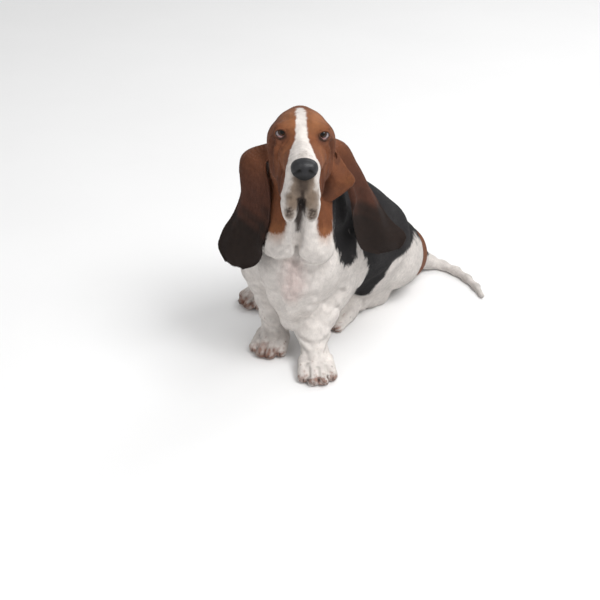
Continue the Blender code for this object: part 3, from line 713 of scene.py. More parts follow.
FRONT_FOLD = (
    EarRow((0.042, -0.044, 0.494), (0.062, -0.042, 0.492), 0.02),
    EarRow((0.044, -0.058, 0.474), (0.078, -0.058, 0.472), 0.12),
    EarRow((0.052, -0.072, 0.450), (0.094, -0.075, 0.450), 0.22),
    EarRow((0.050, -0.078, 0.426), (0.109, -0.086, 0.429), 0.20),
    EarRow((0.048, -0.079, 0.402), (0.092, -0.082, 0.405), 0.16),
    EarRow((0.045, -0.072, 0.378), (0.062, -0.072, 0.378), 0.06),
)
FOLD_ACROSS, FOLD_DOWN = 18, 40


def fold_grid():
    """Rows of points over the fold of the left ear's root, with the way that each faces."""
    fronts, backs, bows = ([getattr(row, kind) for row in FRONT_FOLD] for kind in ("front", "back", "bow"))
    points, outwards = [], []
    for line in range(FOLD_DOWN):
        s = line / (FOLD_DOWN - 1)
        front, back, bow = (between(kind, s) for kind in (fronts, backs, bows))
        chord = back - front
        along = between(fronts, min(s + 0.05, 1)) - between(fronts, max(s - 0.05, 0))
        outward = chord.cross(along).normalized()
        if outward.y > 0:
            outward = -outward
        for step in range(FOLD_ACROSS):
            t = step / (FOLD_ACROSS - 1)
            dent = 0.0035 * hump(s, 0.15, 1.0) * math.sin(2 * math.pi * (1.1 * t - 0.1))
            points.append((front + chord * t + outward * (bow * chord.length * 3.2 * t * (1 - t) + dent))[:])
            outwards.append(outward[:])
    return np.array(points), np.array(outwards)


def front_fold():
    """The fold of the left ear's root that hangs forward over the cheek."""
    points, outwards = fold_grid()
    return sheet_solid("front_fold", points, outwards, np.full(len(points), 0.0016), FOLD_DOWN, FOLD_ACROSS)


def root_lump():
    """The lump of gristle that fills the corner between the head, the ear and the fold."""
    bpy.ops.object.select_all(action="DESELECT")
    bpy.ops.mesh.primitive_ico_sphere_add(subdivisions=4, radius=0.0105, location=(0.0705, -0.0600, 0.4680))
    lump = bpy.context.object
    lump.scale = (1.0, 0.9, 1.7)
    bpy.ops.object.transform_apply(location=True, rotation=False, scale=True)
    return lump


# The loose folds pressed into the skin, each a line of (x, y, z) with a width and a depth.


class Fold:
    def __init__(self, points, width, depth):
        self.line = [(*point, 0.0) for point in points]
        self.width = width
        self.depth = depth

    def away(self, places):
        return segment_distance(places, self.line)


class Ring:
    """A crease round a leg, in a plane through a middle."""

    def __init__(self, centre, axis, reach, width, depth):
        self.centre = np.array(centre)
        self.axis = np.array(Vector(axis).normalized()[:])
        self.reach = reach
        self.width = width
        self.depth = depth

    def away(self, places):
        offset = places - self.centre
        level = np.abs(offset @ self.axis + 0.0014 * wobble(places, 0.03, 5))
        return np.where(np.linalg.norm(offset, axis=1) < self.reach, level, 1.0)


def head_fold(points, width, depth):
    return Fold([on_head(*point)[:] for point in points], width, depth)


def folds_of_skin():
    folds = []
    for side in (-1, 1):
        folds += [
            head_fold([(side * 0.022, -0.012, -0.010), (side * 0.034, -0.019, -0.022), (side * 0.048, -0.006, -0.019)],
                      0.0028, 0.0018),
            head_fold([(side * 0.050, 0.000, -0.016), (side * 0.055, 0.006, -0.045), (side * 0.053, 0.004, -0.090)],
                      0.0050, 0.0062),
            head_fold([(side * 0.022, -0.020, -0.020), (side * 0.034, -0.030, -0.048), (side * 0.036, -0.030, -0.095)],
                      0.0048, 0.0052),
            head_fold([(side * 0.040, -0.012, -0.026), (side * 0.046, -0.016, -0.050), (side * 0.045, -0.012, -0.075)],
                      0.0038, 0.0032),
            head_fold([(side * 0.009, -0.004, 0.014), (side * 0.013, 0.030, 0.032)], 0.0040, 0.0011),
            head_fold([(side * 0.024, -0.002, 0.017), (side * 0.030, 0.030, 0.026)], 0.0040, 0.0012),
            head_fold([(side * 0.020, -0.112, -0.090), (side * 0.030, -0.090, -0.098), (side * 0.036, -0.050, -0.100)],
                      0.0045, 0.0014),
        ]
    folds += [
        Fold([(-0.045, -0.070, 0.420), (-0.052, -0.080, 0.350), (-0.060, -0.080, 0.310)], 0.0070, 0.0050),
        Fold([(0.075, -0.060, 0.420), (0.080, -0.068, 0.350), (0.083, -0.070, 0.305)], 0.0070, 0.0050),
        Fold([(-0.020, -0.090, 0.400), (-0.014, -0.100, 0.345)], 0.0060, 0.0030),
        Fold([(0.046, -0.090, 0.400), (0.044, -0.098, 0.340)], 0.0060, 0.0030),
        Fold([(0.014, -0.090, 0.380), (0.009, -0.095, 0.335), (0.007, -0.092, 0.313), (0.006, -0.083, 0.287),
              (0.003, -0.078, 0.262)], 0.0085, 0.0085),
        Fold([(-0.062, -0.096, 0.306), (-0.046, -0.096, 0.284), (-0.028, -0.088, 0.270), (-0.010, -0.076, 0.266),
              (0.003, -0.082, 0.285)], 0.0065, 0.0060),
        Fold([(0.008, -0.085, 0.287), (0.018, -0.094, 0.277), (0.032, -0.098, 0.267), (0.046, -0.098, 0.263),
              (0.062, -0.096, 0.272), (0.078, -0.080, 0.292)], 0.0065, 0.0060),
        Fold([(-0.006, -0.080, 0.270), (-0.010, -0.083, 0.225), (-0.006, -0.074, 0.190)], 0.0050, 0.0018),
        Fold([(0.012, -0.085, 0.268), (0.014, -0.083, 0.235), (0.010, -0.076, 0.200)], 0.0050, 0.0018),
        Fold([(0.024, -0.090, 0.264), (0.030, -0.086, 0.235)], 0.0050, 0.0016),
        Fold([(-0.034, -0.062, 0.175), (-0.027, -0.045, 0.135), (-0.018, -0.015, 0.098)], 0.0140, 0.0060),
        Fold([(0.024, -0.064, 0.175), (0.014, -0.055, 0.138), (0.004, -0.018, 0.098)], 0.0140, 0.0060),
        Fold([(0.090, 0.002, 0.150), (0.064, -0.010, 0.128), (0.036, -0.052, 0.150)], 0.0080, 0.0040),
        Fold([(0.085, -0.004, 0.118), (0.060, -0.030, 0.102), (0.026, -0.036, 0.096)], 0.0055, 0.0026),
        Fold([(-0.080, 0.050, 0.130), (-0.060, 0.050, 0.112), (-0.030, 0.030, 0.110)], 0.0065, 0.0036),
        Fold([(0.116, 0.010, 0.200), (0.122, 0.030, 0.150), (0.110, 0.050, 0.110)], 0.0120, 0.0040),
        Fold([(0.160, 0.105, 0.118), (0.178, 0.110, 0.136), (0.205, 0.130, 0.156)], 0.0120, 0.0030),
    ]
    for centre, reach in (((0.038, -0.026, 0.050), 0.046), ((0.038, -0.008, 0.070), 0.046)):
        folds.append(Ring(centre, (0.05, -0.30, 0.95), reach, 0.0040, 0.0024))
    folds.append(Ring((-0.038, 0.060, 0.052), (0.0, -0.30, 0.95), 0.046, 0.0042, 0.0024))
    for legs in (FORE_LEGS, HIND_LEGS):
        for leg in legs.values():
            lines = [toe_line(leg["paw"], leg["heading"], toe) for toe in TOES]
            for (root, tip), (other_root, other_tip) in zip(lines, lines[1:]):
                end = (tip + other_tip) / 2 + leg["heading"] * 0.010
                start = end * 0.55 + (root + other_root) * 0.225 + Vector((0, 0, 0.010))
                folds.append(Fold([start[:], (end + Vector((0, 0, 0.008)))[:], end[:]], 0.0030, 0.0028))
    return folds


def press_folds(places, normals):
    """Presses every fold in, with a low roll of loose skin along both of its sides."""
    pushed = places.copy()
    for fold in folds_of_skin():
        away = fold.away(places)
        close = away < fold.width * 4
        share = away[close] / fold.width
        shape = np.exp(-share**2) - 0.38 * np.exp(-((share - 1.8) ** 2))
        pushed[close] -= (fold.depth * shape)[:, None] * normals[close]
    return pushed


def press_lids(places):
    """Opens the lids: the skin between them sinks behind the ball, and their edge stands up."""
    for side in (-1, 1):
        offset = places - np.array(eye_centre(side)[:])
        reach = np.linalg.norm(offset, axis=1)
        share = lid_share(places, side)
        inside = (1 - ramp(share, 0.92, 1.06)) * (reach < 0.022)
        edge = 0.0007 * np.exp(-(((share - 1.18) / 0.13) ** 2)) * (reach < 0.022)
        wanted = reach + inside * (EYE_RADIUS - 0.0022 - reach) + edge
        places = places + offset * (wanted / np.maximum(reach, 1e-9) - 1)[:, None]
    return places


# The markings, with painted shade and light among them: strokes of colour in space, painted one over the other.


class Stroke:
    """One stroke of a colour along (x, y, z, radius) stations, with a soft or ragged edge."""

    def __init__(self, colour, line, feather=0.004, ragged=0.0025, strength=1.0, size=0.012):
        self.colour = colour
        self.line = line
        self.feather = feather
        self.ragged = ragged
        self.strength = strength
        self.size = size

    def share(self, points, seed):
        away = segment_distance(points, self.line)
        close = away < self.feather + 3 * self.ragged
        found = np.zeros(len(points))
        if close.any():
            edge = away[close] + self.ragged * wobble(points[close], self.size, seed)
            edge += 0.4 * self.ragged * wobble(points[close], self.size * 0.3, seed + 50)
            found[close] = self.strength * (1 - ramp(edge, -self.feather, self.feather))
        return found


def head_line(*stations):
    return [(*on_head(x, y, z), radius) for x, y, z, radius in stations]


def coat_strokes():
    """From the white ground up to the small dark spots, in the order of painting."""
    strokes = [
        Stroke("black", [
            (0.020, 0.100, 0.430, 0.055), (0.045, 0.140, 0.360, 0.085), (0.110, 0.170, 0.285, 0.092),
            (0.170, 0.240, 0.205, 0.080), (0.218, 0.305, 0.135, 0.066), (0.262, 0.352, 0.085, 0.045),
        ], 0.006, 0.006, size=0.03),
        Stroke("black", [
            (0.135, 0.045, 0.275, 0.050), (0.168, 0.085, 0.205, 0.052), (0.160, 0.098, 0.125, 0.034),
            (0.146, 0.118, 0.080, 0.022),
        ], 0.004, 0.003),
        Stroke("black", [(0.190, 0.120, 0.215, 0.055), (0.236, 0.205, 0.185, 0.036)], 0.004, 0.003),
        Stroke("black", [
            (-0.055, 0.120, 0.330, 0.055), (-0.010, 0.210, 0.250, 0.070), (0.050, 0.290, 0.190, 0.066),
            (0.120, 0.370, 0.130, 0.050),
        ], 0.006, 0.005, size=0.02),
        Stroke("black", [
            (0.098, -0.016, 0.420, 0.042), (0.104, -0.036, 0.350, 0.036), (0.104, -0.030, 0.295, 0.034),
            (0.104, -0.020, 0.246, 0.022), (0.105, -0.008, 0.226, 0.013),
        ], 0.003, 0.004),
        Stroke("black", [(0.155, 0.120, 0.305, 0.040), (0.195, 0.130, 0.255, 0.038)], 0.004, 0.003),
        Stroke("black", [(0.100, -0.050, 0.415, 0.040), (0.104, 0.030, 0.350, 0.050)], 0.004, 0.002),
        Stroke("black", [(0.079, -0.054, 0.395, 0.014), (0.079, -0.062, 0.352, 0.0155), (0.081, -0.078, 0.322, 0.0125),
                         (0.082, -0.082, 0.296, 0.010)], 0.003, 0.001),
        Stroke("black", [(0.110, 0.030, 0.400, 0.044), (0.120, 0.020, 0.320, 0.040), (0.124, 0.015, 0.285, 0.026),
                         (0.119, 0.004, 0.240, 0.013)], 0.004, 0.003),
        Stroke("black", [(0.090, 0.040, 0.425, 0.050), (0.110, 0.070, 0.375, 0.050), (0.130, 0.090, 0.325, 0.045)],
               0.004, 0.003),
        Stroke("black", [(-0.075, 0.050, 0.410, 0.048), (-0.085, 0.060, 0.340, 0.052), (-0.090, 0.070, 0.280, 0.036)],
               0.004, 0.004),
        Stroke("tan", [(0.278, 0.290, 0.160, 0.026), (0.290, 0.292, 0.112, 0.040), (0.288, 0.286, 0.064, 0.036),
                       (0.258, 0.232, 0.030, 0.012), (0.226, 0.200, 0.022, 0.007)], 0.003, 0.002),
        Stroke("white", [
            (0.150, 0.135, 0.040, 0.022), (0.180, 0.150, 0.064, 0.024), (0.206, 0.165, 0.086, 0.027),
            (0.226, 0.176, 0.106, 0.0225), (0.240, 0.192, 0.126, 0.0155), (0.248, 0.206, 0.140, 0.008),
        ], 0.002, 0.0015),
        Stroke("white", [(0.122, 0.004, 0.262, 0.003), (0.127, 0.012, 0.232, 0.008), (0.131, 0.024, 0.186, 0.009),
                         (0.131, 0.042, 0.144, 0.014), (0.126, 0.085, 0.100, 0.018)], 0.002, 0.002),
        Stroke("tan", head_line((0.0, 0.075, -0.010, 0.088), (0.0, 0.010, -0.010, 0.075), (0.0, -0.030, -0.020, 0.058)),
               0.003, 0.002),
        Stroke("tan", [(0.015, 0.030, 0.470, 0.072), (0.018, 0.062, 0.440, 0.050)], 0.008, 0.006),
        Stroke("tan", head_line((0.034, -0.050, -0.060, 0.034), (0.036, 0.010, -0.075, 0.040)), 0.003, 0.002),
        Stroke("tan", head_line((-0.034, -0.050, -0.060, 0.034), (-0.036, 0.010, -0.075, 0.040)), 0.003, 0.002),
        Stroke("tan", [(-0.046, -0.066, 0.440, 0.040), (-0.038, -0.088, 0.395, 0.028), (-0.033, -0.098, 0.351, 0.0205)],
               0.002, 0.0015),
        Stroke("tan", [(0.074, -0.064, 0.440, 0.036), (0.067, -0.080, 0.395, 0.025), (0.060, -0.096, 0.342, 0.0175)],
               0.002, 0.0015),
        Stroke("tan", [(0.068, -0.060, 0.495, 0.022), (0.084, -0.088, 0.440, 0.032), (0.074, -0.094, 0.400, 0.020)],
               0.003, 0.002),
        Stroke("tan", [(-0.040, -0.040, 0.480, 0.030), (-0.060, -0.040, 0.466, 0.026)], 0.004, 0.003),
        Stroke("tan", [(0.060, -0.040, 0.490, 0.030), (0.082, -0.040, 0.478, 0.022)], 0.004, 0.003),
        Stroke("tan", head_line((-0.040, -0.028, -0.105, 0.015), (-0.038, -0.004, -0.115, 0.016)), 0.003, 0.001),
        Stroke("tan", head_line((0.045, -0.028, -0.105, 0.015), (0.042, -0.004, -0.115, 0.016)), 0.003, 0.001),
        Stroke("mahogany", head_line((-0.040, -0.030, -0.080, 0.020), (-0.044, 0.010, -0.120, 0.020)), 0.016, 0.001, 0.7),
        Stroke("mahogany", head_line((0.042, -0.030, -0.080, 0.020), (0.044, 0.010, -0.120, 0.020)), 0.016, 0.001, 0.7),
        Stroke("orange", [(-0.031, -0.106, 0.338, 0.016)], 0.016, 0.001, 0.6),
        Stroke("orange", [(0.060, -0.102, 0.330, 0.014)], 0.014, 0.001, 0.5),
        Stroke("orange", head_line((-0.018, -0.008, 0.020, 0.014), (-0.026, 0.040, 0.036, 0.018)), 0.020, 0.001, 0.55),
        Stroke("orange", head_line((0.022, -0.008, 0.020, 0.014), (0.032, 0.040, 0.036, 0.020)), 0.020, 0.001, 0.75),
        # Painted shade along the brow over each eye.
        Stroke("umber", head_line((-0.028, -0.004, 0.0145, 0.003), (-0.036, 0.002, 0.0150, 0.002)), 0.007, 0.001, 0.50),
        Stroke("umber", head_line((0.030, -0.004, 0.0120, 0.004), (0.040, 0.002, 0.0125, 0.003)), 0.008, 0.001, 0.45),
        Stroke("orange", head_line((-0.026, -0.030, -0.020, 0.010), (-0.030, -0.050, -0.045, 0.008)), 0.012, 0.001, 0.30),
        Stroke("orange", head_line((0.026, -0.030, -0.020, 0.010), (0.030, -0.050, -0.045, 0.008)), 0.012, 0.001, 0.30),
        # Painted shade in the fold that runs from the outer corner of each eye down the cheek.
        Stroke("mahogany", head_line((-0.050, 0.002, -0.010, 0.009), (-0.055, 0.004, -0.050, 0.010),
                                     (-0.052, 0.004, -0.100, 0.010)), 0.008, 0.001, 0.8),
        Stroke("mahogany", head_line((0.050, 0.002, -0.010, 0.009), (0.055, 0.004, -0.050, 0.010),
                                     (0.052, 0.004, -0.100, 0.010)), 0.008, 0.001, 0.7),
        Stroke("mahogany", head_line((-0.056, 0.050, 0.000, 0.020), (-0.050, 0.090, -0.010, 0.030)), 0.012, 0.001, 0.7),
        Stroke("mahogany", head_line((0.056, 0.050, 0.000, 0.020), (0.050, 0.090, -0.010, 0.030)), 0.012, 0.001, 0.7),
        # Painted shade in the crease between each cheek and the muzzle.
        Stroke("mahogany", head_line((-0.034, -0.030, -0.048, 0.003), (-0.036, -0.030, -0.095, 0.003)), 0.006, 0.001,
               0.6),
        Stroke("mahogany", head_line((0.034, -0.030, -0.048, 0.003), (0.036, -0.030, -0.095, 0.003)), 0.006, 0.001,
               0.6),
        Stroke("white", head_line((-0.0020, -0.118, -0.034, 0.0455), (-0.0010, -0.118, -0.075, 0.0470),
                                  (0.0005, -0.116, -0.132, 0.0480)), 0.002, 0.0015),
        Stroke("white", [
            (0.006, 0.070, 0.515, 0.002), (0.009, 0.030, 0.542, 0.005), (0.0115, -0.010, 0.548, 0.0070),
            (0.0130, -0.047, 0.547, 0.0085), (0.0140, -0.080, 0.546, 0.0088), (0.0145, -0.105, 0.534, 0.0098),
            (0.0145, -0.120, 0.524, 0.0135), (0.0135, -0.150, 0.520, 0.0205), (0.0135, -0.185, 0.520, 0.0300),
        ], 0.0015, 0.001, size=0.006),
        Stroke("white", [(0.0145, -0.120, 0.400, 0.030), (0.0145, -0.120, 0.330, 0.034)], 0.003, 0.002),
        Stroke("pink", [(-0.001, -0.088, 0.246, 0.020), (-0.001, -0.090, 0.215, 0.024), (-0.004, -0.084, 0.185, 0.018)],
               0.020, 0.004, 0.55),
        Stroke("grey", head_line((0.0, -0.100, -0.012, 0.012), (0.0, -0.085, -0.010, 0.010)), 0.008, 0.002, 0.30),
        # Painted shadow of the nose on the muzzle below it, and painted shade down the front of both flews.
        Stroke("grey", head_line((-0.001, -0.112, -0.060, 0.021), (-0.003, -0.106, -0.090, 0.024)), 0.006, 0.002, 0.95),
        Stroke("grey", head_line((-0.0215, -0.102, -0.092, 0.0100), (-0.0215, -0.094, -0.124, 0.0090)), 0.006, 0.002, 0.85),
        Stroke("grey", head_line((0.0180, -0.101, -0.086, 0.0120), (0.0165, -0.094, -0.124, 0.0095)), 0.006, 0.002, 0.90),
        # Painted shadow close under the nose.
        Stroke("umber", head_line((-0.001, -0.113, -0.056, 0.012), (-0.002, -0.110, -0.073, 0.010)), 0.008, 0.002, 0.75),
        Stroke("umber", head_line((-0.0020, -0.110, -0.076, 0.0020), (-0.0025, -0.106, -0.092, 0.0050)), 0.003, 0.001, 0.9),
        # Painted shade in the gap between the flews and under the chin.
        Stroke("umber", head_line((-0.0030, -0.098, -0.094, 0.0080), (-0.0030, -0.080, -0.140, 0.0085)), 0.003, 0.001,
               0.95),
        Stroke("umber", head_line((-0.0020, -0.084, -0.104, 0.0100), (-0.0020, -0.050, -0.118, 0.016),
                                  (0.0, 0.030, -0.130, 0.020)), 0.006, 0.001, 0.95),
        # Painted shade on the throat where it shows between the flews.
        Stroke("umber", [(0.0095, -0.083, 0.396, 0.0130), (0.0090, -0.084, 0.362, 0.0085), (0.0085, -0.086, 0.332, 0.0045)],
               0.004, 0.001, 0.95),
        Stroke("umber", head_line((-0.0230, -0.096, -0.112, 0.0058), (-0.0215, -0.090, -0.121, 0.0058)), 0.003, 0.0022,
               0.85, 0.004),
        Stroke("umber", head_line((0.0168, -0.096, -0.113, 0.0058), (0.0160, -0.090, -0.122, 0.0058)), 0.003, 0.0022,
               0.85, 0.004),
        # Painted shade in the crease where the left ear's front fold meets the cheek.
        Stroke("mahogany", [(0.060, -0.070, 0.470, 0.006), (0.058, -0.086, 0.440, 0.007), (0.056, -0.090, 0.400, 0.007)],
               0.008, 0.001, 0.6),
        # Painted light on the corner of the left ear's front fold.
        Stroke("orange", [(0.100, -0.094, 0.430, 0.006)], 0.014, 0.001, 0.5),
    ]
    for side in (-1, 1):
        x, y, z = eye_centre(side)
        strokes.append(Stroke("mahogany", [(x, y - 0.008, z - 0.003, 0.0150)], 0.0060, 0.0006, 0.55, 0.006))
        strokes.append(Stroke("umber", [(x, y - 0.010, z, 0.0092)], 0.0030, 0.0006, 0.85, 0.006))
    for legs in (FORE_LEGS, HIND_LEGS):
        for leg in legs.values():
            for toe in TOES:
                knuckle, tip = toe_line(leg["paw"], leg["heading"], toe)
                front = tip + leg["heading"] * 0.008
                strokes.append(Stroke("rust", [(*front, 0.0090)], 0.007, 0.006, 0.80, 0.007))
            # Painted shade in the grooves between the toes.
            lines = [toe_line(leg["paw"], leg["heading"], toe) for toe in TOES]
            for (root, tip), (other_root, other_tip) in zip(lines, lines[1:]):
                groove = (tip + other_tip) / 2 + leg["heading"] * 0.006
                strokes.append(Stroke("umber", [(*groove, 0.0034), (*(groove + Vector((0, 0, 0.010))), 0.0016)],
                                      0.0035, 0.002, 0.80, 0.006))
    # Rust ticking over the fronts of the right fore paw and both hind paws, deepened there as painted shade, with a
    # spot of painted shadow low at each front.
    for leg in (FORE_LEGS["right"], HIND_LEGS["left"], HIND_LEGS["right"]):
        front = Vector((*leg["paw"], 0.012)) + leg["heading"] * 0.048
        strokes.append(Stroke("rust", [(*front, 0.016)], 0.014, 0.007, 0.60, 0.009))
        strokes.append(Stroke("umber", [(*front, 0.004)], 0.012, 0.008, 0.55, 0.009))
    return strokes


class Spots:
    """Ticking: small dark spots strewn about a place, fewer towards its rim."""

    def __init__(self, colour, centre, spread, count, radius, strength, seed):
        draw = np.random.default_rng(seed)
        self.colour = colour
        self.centres = np.array(centre) + draw.normal(size=(count, 3)) * np.array(spread)
        self.radii = draw.uniform(*radius, size=count)
        self.strength = strength

    def share(self, points):
        tree = KDTree(len(self.centres))
        for index, centre in enumerate(self.centres):
            tree.insert(centre, index)
        tree.balance()
        reach = self.radii.max() * 1.5
        low, high = self.centres.min(axis=0) - reach, self.centres.max(axis=0) + reach
        found = np.zeros(len(points))
        for number in np.flatnonzero(np.all((points > low) & (points < high), axis=1)):
            _, index, away = tree.find(points[number])
            if away < reach:
                found[number] = self.strength * (1 - ramp(away, 0.4 * self.radii[index], 1.3 * self.radii[index]))
        return found


def ticking():
    fine, wide = (0.0012, 0.0026), (0.0018, 0.0042)
    strewn = [
        Spots("grey", on_head(0.0, -0.088, -0.016), (0.010, 0.016, 0.005), 90, (0.0008, 0.0018), 0.65, 11),
        Spots("umber", on_head(0.0, -0.105, -0.080), (0.022, 0.010, 0.018), 60, (0.0007, 0.0013), 0.45, 12),
        Spots("grey", (0.0, -0.075, 0.200), (0.080, 0.030, 0.060), 130, fine, 0.35, 13),
        Spots("umber", (0.0, -0.030, 0.120), (0.040, 0.020, 0.030), 30, fine, 0.40, 14),
    ]
    seed = 20
    for legs in (FORE_LEGS, HIND_LEGS):
        for leg in legs.values():
            x, y = leg["paw"]
            strewn.append(Spots("rust", (x, y, 0.030), (0.022, 0.026, 0.012), 130, fine, 0.60, seed))
            strewn.append(Spots("umber", (x, y - 0.006, 0.022), (0.020, 0.024, 0.010), 60, fine, 0.55, seed + 1))
            strewn.append(Spots("grey", (x, y + 0.02, 0.075), (0.022, 0.022, 0.030), 60, wide, 0.30, seed + 2))
            seed += 3
    return strewn


def painted(points, ears, colours):
    """The coat's colour at each point: markings with their painted shade and light, spots and cloudiness together."""
    found = np.tile(colours["white"], (len(points), 1))
    for number, stroke in enumerate(coat_strokes()):
        share = stroke.share(points, 100 + number)[:, None]
        found += share * (colours[stroke.colour] - found)
    for spots in ticking():
        share = spots.share(points)[:, None]
        found += share * (colours[spots.colour] - found)
    for ear in ears:
        centre = ear.points.mean(axis=0)
        close = np.flatnonzero(np.linalg.norm(points - centre, axis=1) < 0.20)
        for number in close:
            _, index, away = ear.tree.find(points[number])
            if away > 0.0055:
                continue
            place = points[number]
            s, t = ear.down[index], ear.across[index]
            inside = (place - ear.points[index]) @ ear.outward[index] < 0
            edge = 0.03 * math.sin(place[2] * 190 + place[0] * 120) + 0.02 * math.sin(place[1] * 260)
            dark = ramp(s + edge, *((0.38, 0.62) if ear.side < 0 else (0.40, 0.66)))
            high = 0.75 * (1 - ramp(s, 0.05, 0.38))
            colour = colours["mahogany"] * (1 - high) + colours["tan"] * high
            colour = colour * (1 - dark) + colours["ear_tip"] * dark
            if inside and 0.06 < t < 0.94:
                lining = 0.5 * (1 - dark)
                colour = colour * (1 - lining) + colours["ear_lining"] * lining
            share = ramp(s, -0.01, 0.03) if away < 0.0035 else ramp(s, 0.05, 0.12)
            found[number] += share * (colour - found[number])
    cloud = 1 + 0.06 * wobble(points, 0.030, 7) + 0.05 * wobble(points, 0.008, 8)
    return np.clip(found * cloud[:, None], 0.0, 1.0)


# Materials. A group gives each coat and hide its own grain.


def group_input(group, name, default, kind="NodeSocketFloat"):
    socket = group.interface.new_socket(name, in_out="INPUT", socket_type=kind)
    socket.default_value = default
    return socket


def short_coat_group():
    """Streaks and clumps of short hair: a colour, a roughness and a height."""
    group = bpy.data.node_groups.get("short coat")
    if group:
        return group
    group = bpy.data.node_groups.new("short coat", "ShaderNodeTree")
    group_input(group, "Colour", (0.5, 0.5, 0.5, 1.0), "NodeSocketColor")
    group_input(group, "Hair scale", 900.0)
    group_input(group, "Clump scale", 140.0)
    group_input(group, "Contrast", 0.35)
    group.interface.new_socket("Colour", in_out="OUTPUT", socket_type="NodeSocketColor")
    group.interface.new_socket("Roughness", in_out="OUTPUT", socket_type="NodeSocketFloat")
    group.interface.new_socket("Height", in_out="OUTPUT", socket_type="NodeSocketFloat")
    nodes, links = group.nodes, group.links
    entry, leave = nodes.new("NodeGroupInput"), nodes.new("NodeGroupOutput")
    place = nodes.new("ShaderNodeTexCoord")
    hair, clump = nodes.new("ShaderNodeTexNoise"), nodes.new("ShaderNodeTexNoise")
    hair.inputs["Detail"].default_value = 2.0
    clump.inputs["Detail"].default_value = 3.0
    for noise, scale in ((hair, "Hair scale"), (clump, "Clump scale")):
        links.new(place.outputs["Object"], noise.inputs["Vector"])
        links.new(entry.outputs[scale], noise.inputs["Scale"])
    both = nodes.new("ShaderNodeMath")
    both.operation = "MULTIPLY_ADD"
    both.inputs[1].default_value = 0.6
    links.new(hair.outputs["Fac"], both.inputs[0])
    links.new(clump.outputs["Fac"], both.inputs[2])
    level = nodes.new("ShaderNodeMapRange")
    level.inputs["From Min"].default_value = 0.45
    level.inputs["From Max"].default_value = 1.15
    level.inputs["To Max"].default_value = 1.0
    low = nodes.new("ShaderNodeMath")
    low.operation = "SUBTRACT"
    low.inputs[0].default_value = 1.0
    links.new(entry.outputs["Contrast"], low.inputs[1])
    links.new(low.outputs[0], level.inputs["To Min"])
    links.new(both.outputs[0], level.inputs["Value"])
    tint = nodes.new("ShaderNodeMix")
    tint.data_type = "RGBA"
    tint.blend_type = "MULTIPLY"
    tint.inputs["Factor"].default_value = 1.0
    links.new(entry.outputs["Colour"], tint.inputs["A"])
    links.new(level.outputs["Result"], tint.inputs["B"])
    rough = nodes.new("ShaderNodeMapRange")
    rough.inputs["To Min"].default_value = 0.62
    rough.inputs["To Max"].default_value = 0.85
    links.new(clump.outputs["Fac"], rough.inputs["Value"])
    links.new(tint.outputs["Result"], leave.inputs["Colour"])
    links.new(rough.outputs["Result"], leave.inputs["Roughness"])
    links.new(hair.outputs["Fac"], leave.inputs["Height"])
    return group


def new_material(name):
    made = bpy.data.materials.new(name)
    made.use_nodes = True
    return made, made.node_tree.nodes, made.node_tree.links, made.node_tree.nodes["Principled BSDF"]


def coat_material(name, hair_scale, contrast, bump, sheen):
    """Short hair in the colours that the mesh carries."""
    made, nodes, links, shader = new_material(name)
    colour = nodes.new("ShaderNodeAttribute")
    colour.attribute_name = "coat_colour"
    hair = nodes.new("ShaderNodeGroup")
    hair.node_tree = short_coat_group()
    hair.inputs["Hair scale"].default_value = hair_scale
    hair.inputs["Contrast"].default_value = contrast
    links.new(colour.outputs["Color"], hair.inputs["Colour"])
    links.new(hair.outputs["Colour"], shader.inputs["Base Color"])
    links.new(hair.outputs["Roughness"], shader.inputs["Roughness"])
    if bump:
        raised = nodes.new("ShaderNodeBump")
        raised.inputs["Strength"].default_value = bump
        raised.inputs["Distance"].default_value = 0.001
        links.new(hair.outputs["Height"], raised.inputs["Height"])
        links.new(raised.outputs["Normal"], shader.inputs["Normal"])
    shader.inputs["Specular IOR Level"].default_value = 0.25
    shader.inputs["Sheen Weight"].default_value = sheen
    shader.inputs["Sheen Roughness"].default_value = 0.4
    return made


def nose_material(colour):
    made, nodes, links, shader = new_material("nose leather")
    place = nodes.new("ShaderNodeTexCoord")
    pebble = nodes.new("ShaderNodeTexVoronoi")
    pebble.inputs["Scale"].default_value = 1100.0
    links.new(place.outputs["Object"], pebble.inputs["Vector"])
    cloud = nodes.new("ShaderNodeTexNoise")
    cloud.inputs["Scale"].default_value = 160.0
    links.new(place.outputs["Object"], cloud.inputs["Vector"])
    tone = nodes.new("ShaderNodeValToRGB")
    tone.color_ramp.elements[0].color = (*[part * 1.0 for part in colour], 1)
    tone.color_ramp.elements[1].color = (*[part * 3.6 for part in colour], 1)
    links.new(cloud.outputs["Fac"], tone.inputs["Fac"])
    # Painted shade: this attribute darkens the nostrils and the underside of the nose towards near-black.
    pit = nodes.new("ShaderNodeAttribute")
    pit.attribute_name = "pit"
    dark = nodes.new("ShaderNodeMix")
    dark.data_type = "RGBA"
    dark.inputs["B"].default_value = (0.0015, 0.0012, 0.0012, 1.0)
    links.new(tone.outputs["Color"], dark.inputs["A"])
    links.new(pit.outputs["Fac"], dark.inputs["Factor"])
    links.new(dark.outputs["Result"], shader.inputs["Base Color"])
    gloss = nodes.new("ShaderNodeMapRange")
    gloss.inputs["To Min"].default_value = 0.36
    gloss.inputs["To Max"].default_value = 0.52
    links.new(pebble.outputs["Distance"], gloss.inputs["Value"])
    dull = nodes.new("ShaderNodeMath")
    dull.operation = "MULTIPLY_ADD"
    dull.use_clamp = True
    dull.inputs[1].default_value = 0.4
    links.new(pit.outputs["Fac"], dull.inputs[0])
    links.new(gloss.outputs["Result"], dull.inputs[2])
    links.new(dull.outputs[0], shader.inputs["Roughness"])
    shader.inputs["Specular IOR Level"].default_value = 0.35
    raised = nodes.new("ShaderNodeBump")
    raised.invert = True
    raised.inputs["Strength"].default_value = 0.22
    raised.inputs["Distance"].default_value = 0.0003
    links.new(pebble.outputs["Distance"], raised.inputs["Height"])
    links.new(raised.outputs["Normal"], shader.inputs["Normal"])
    return made


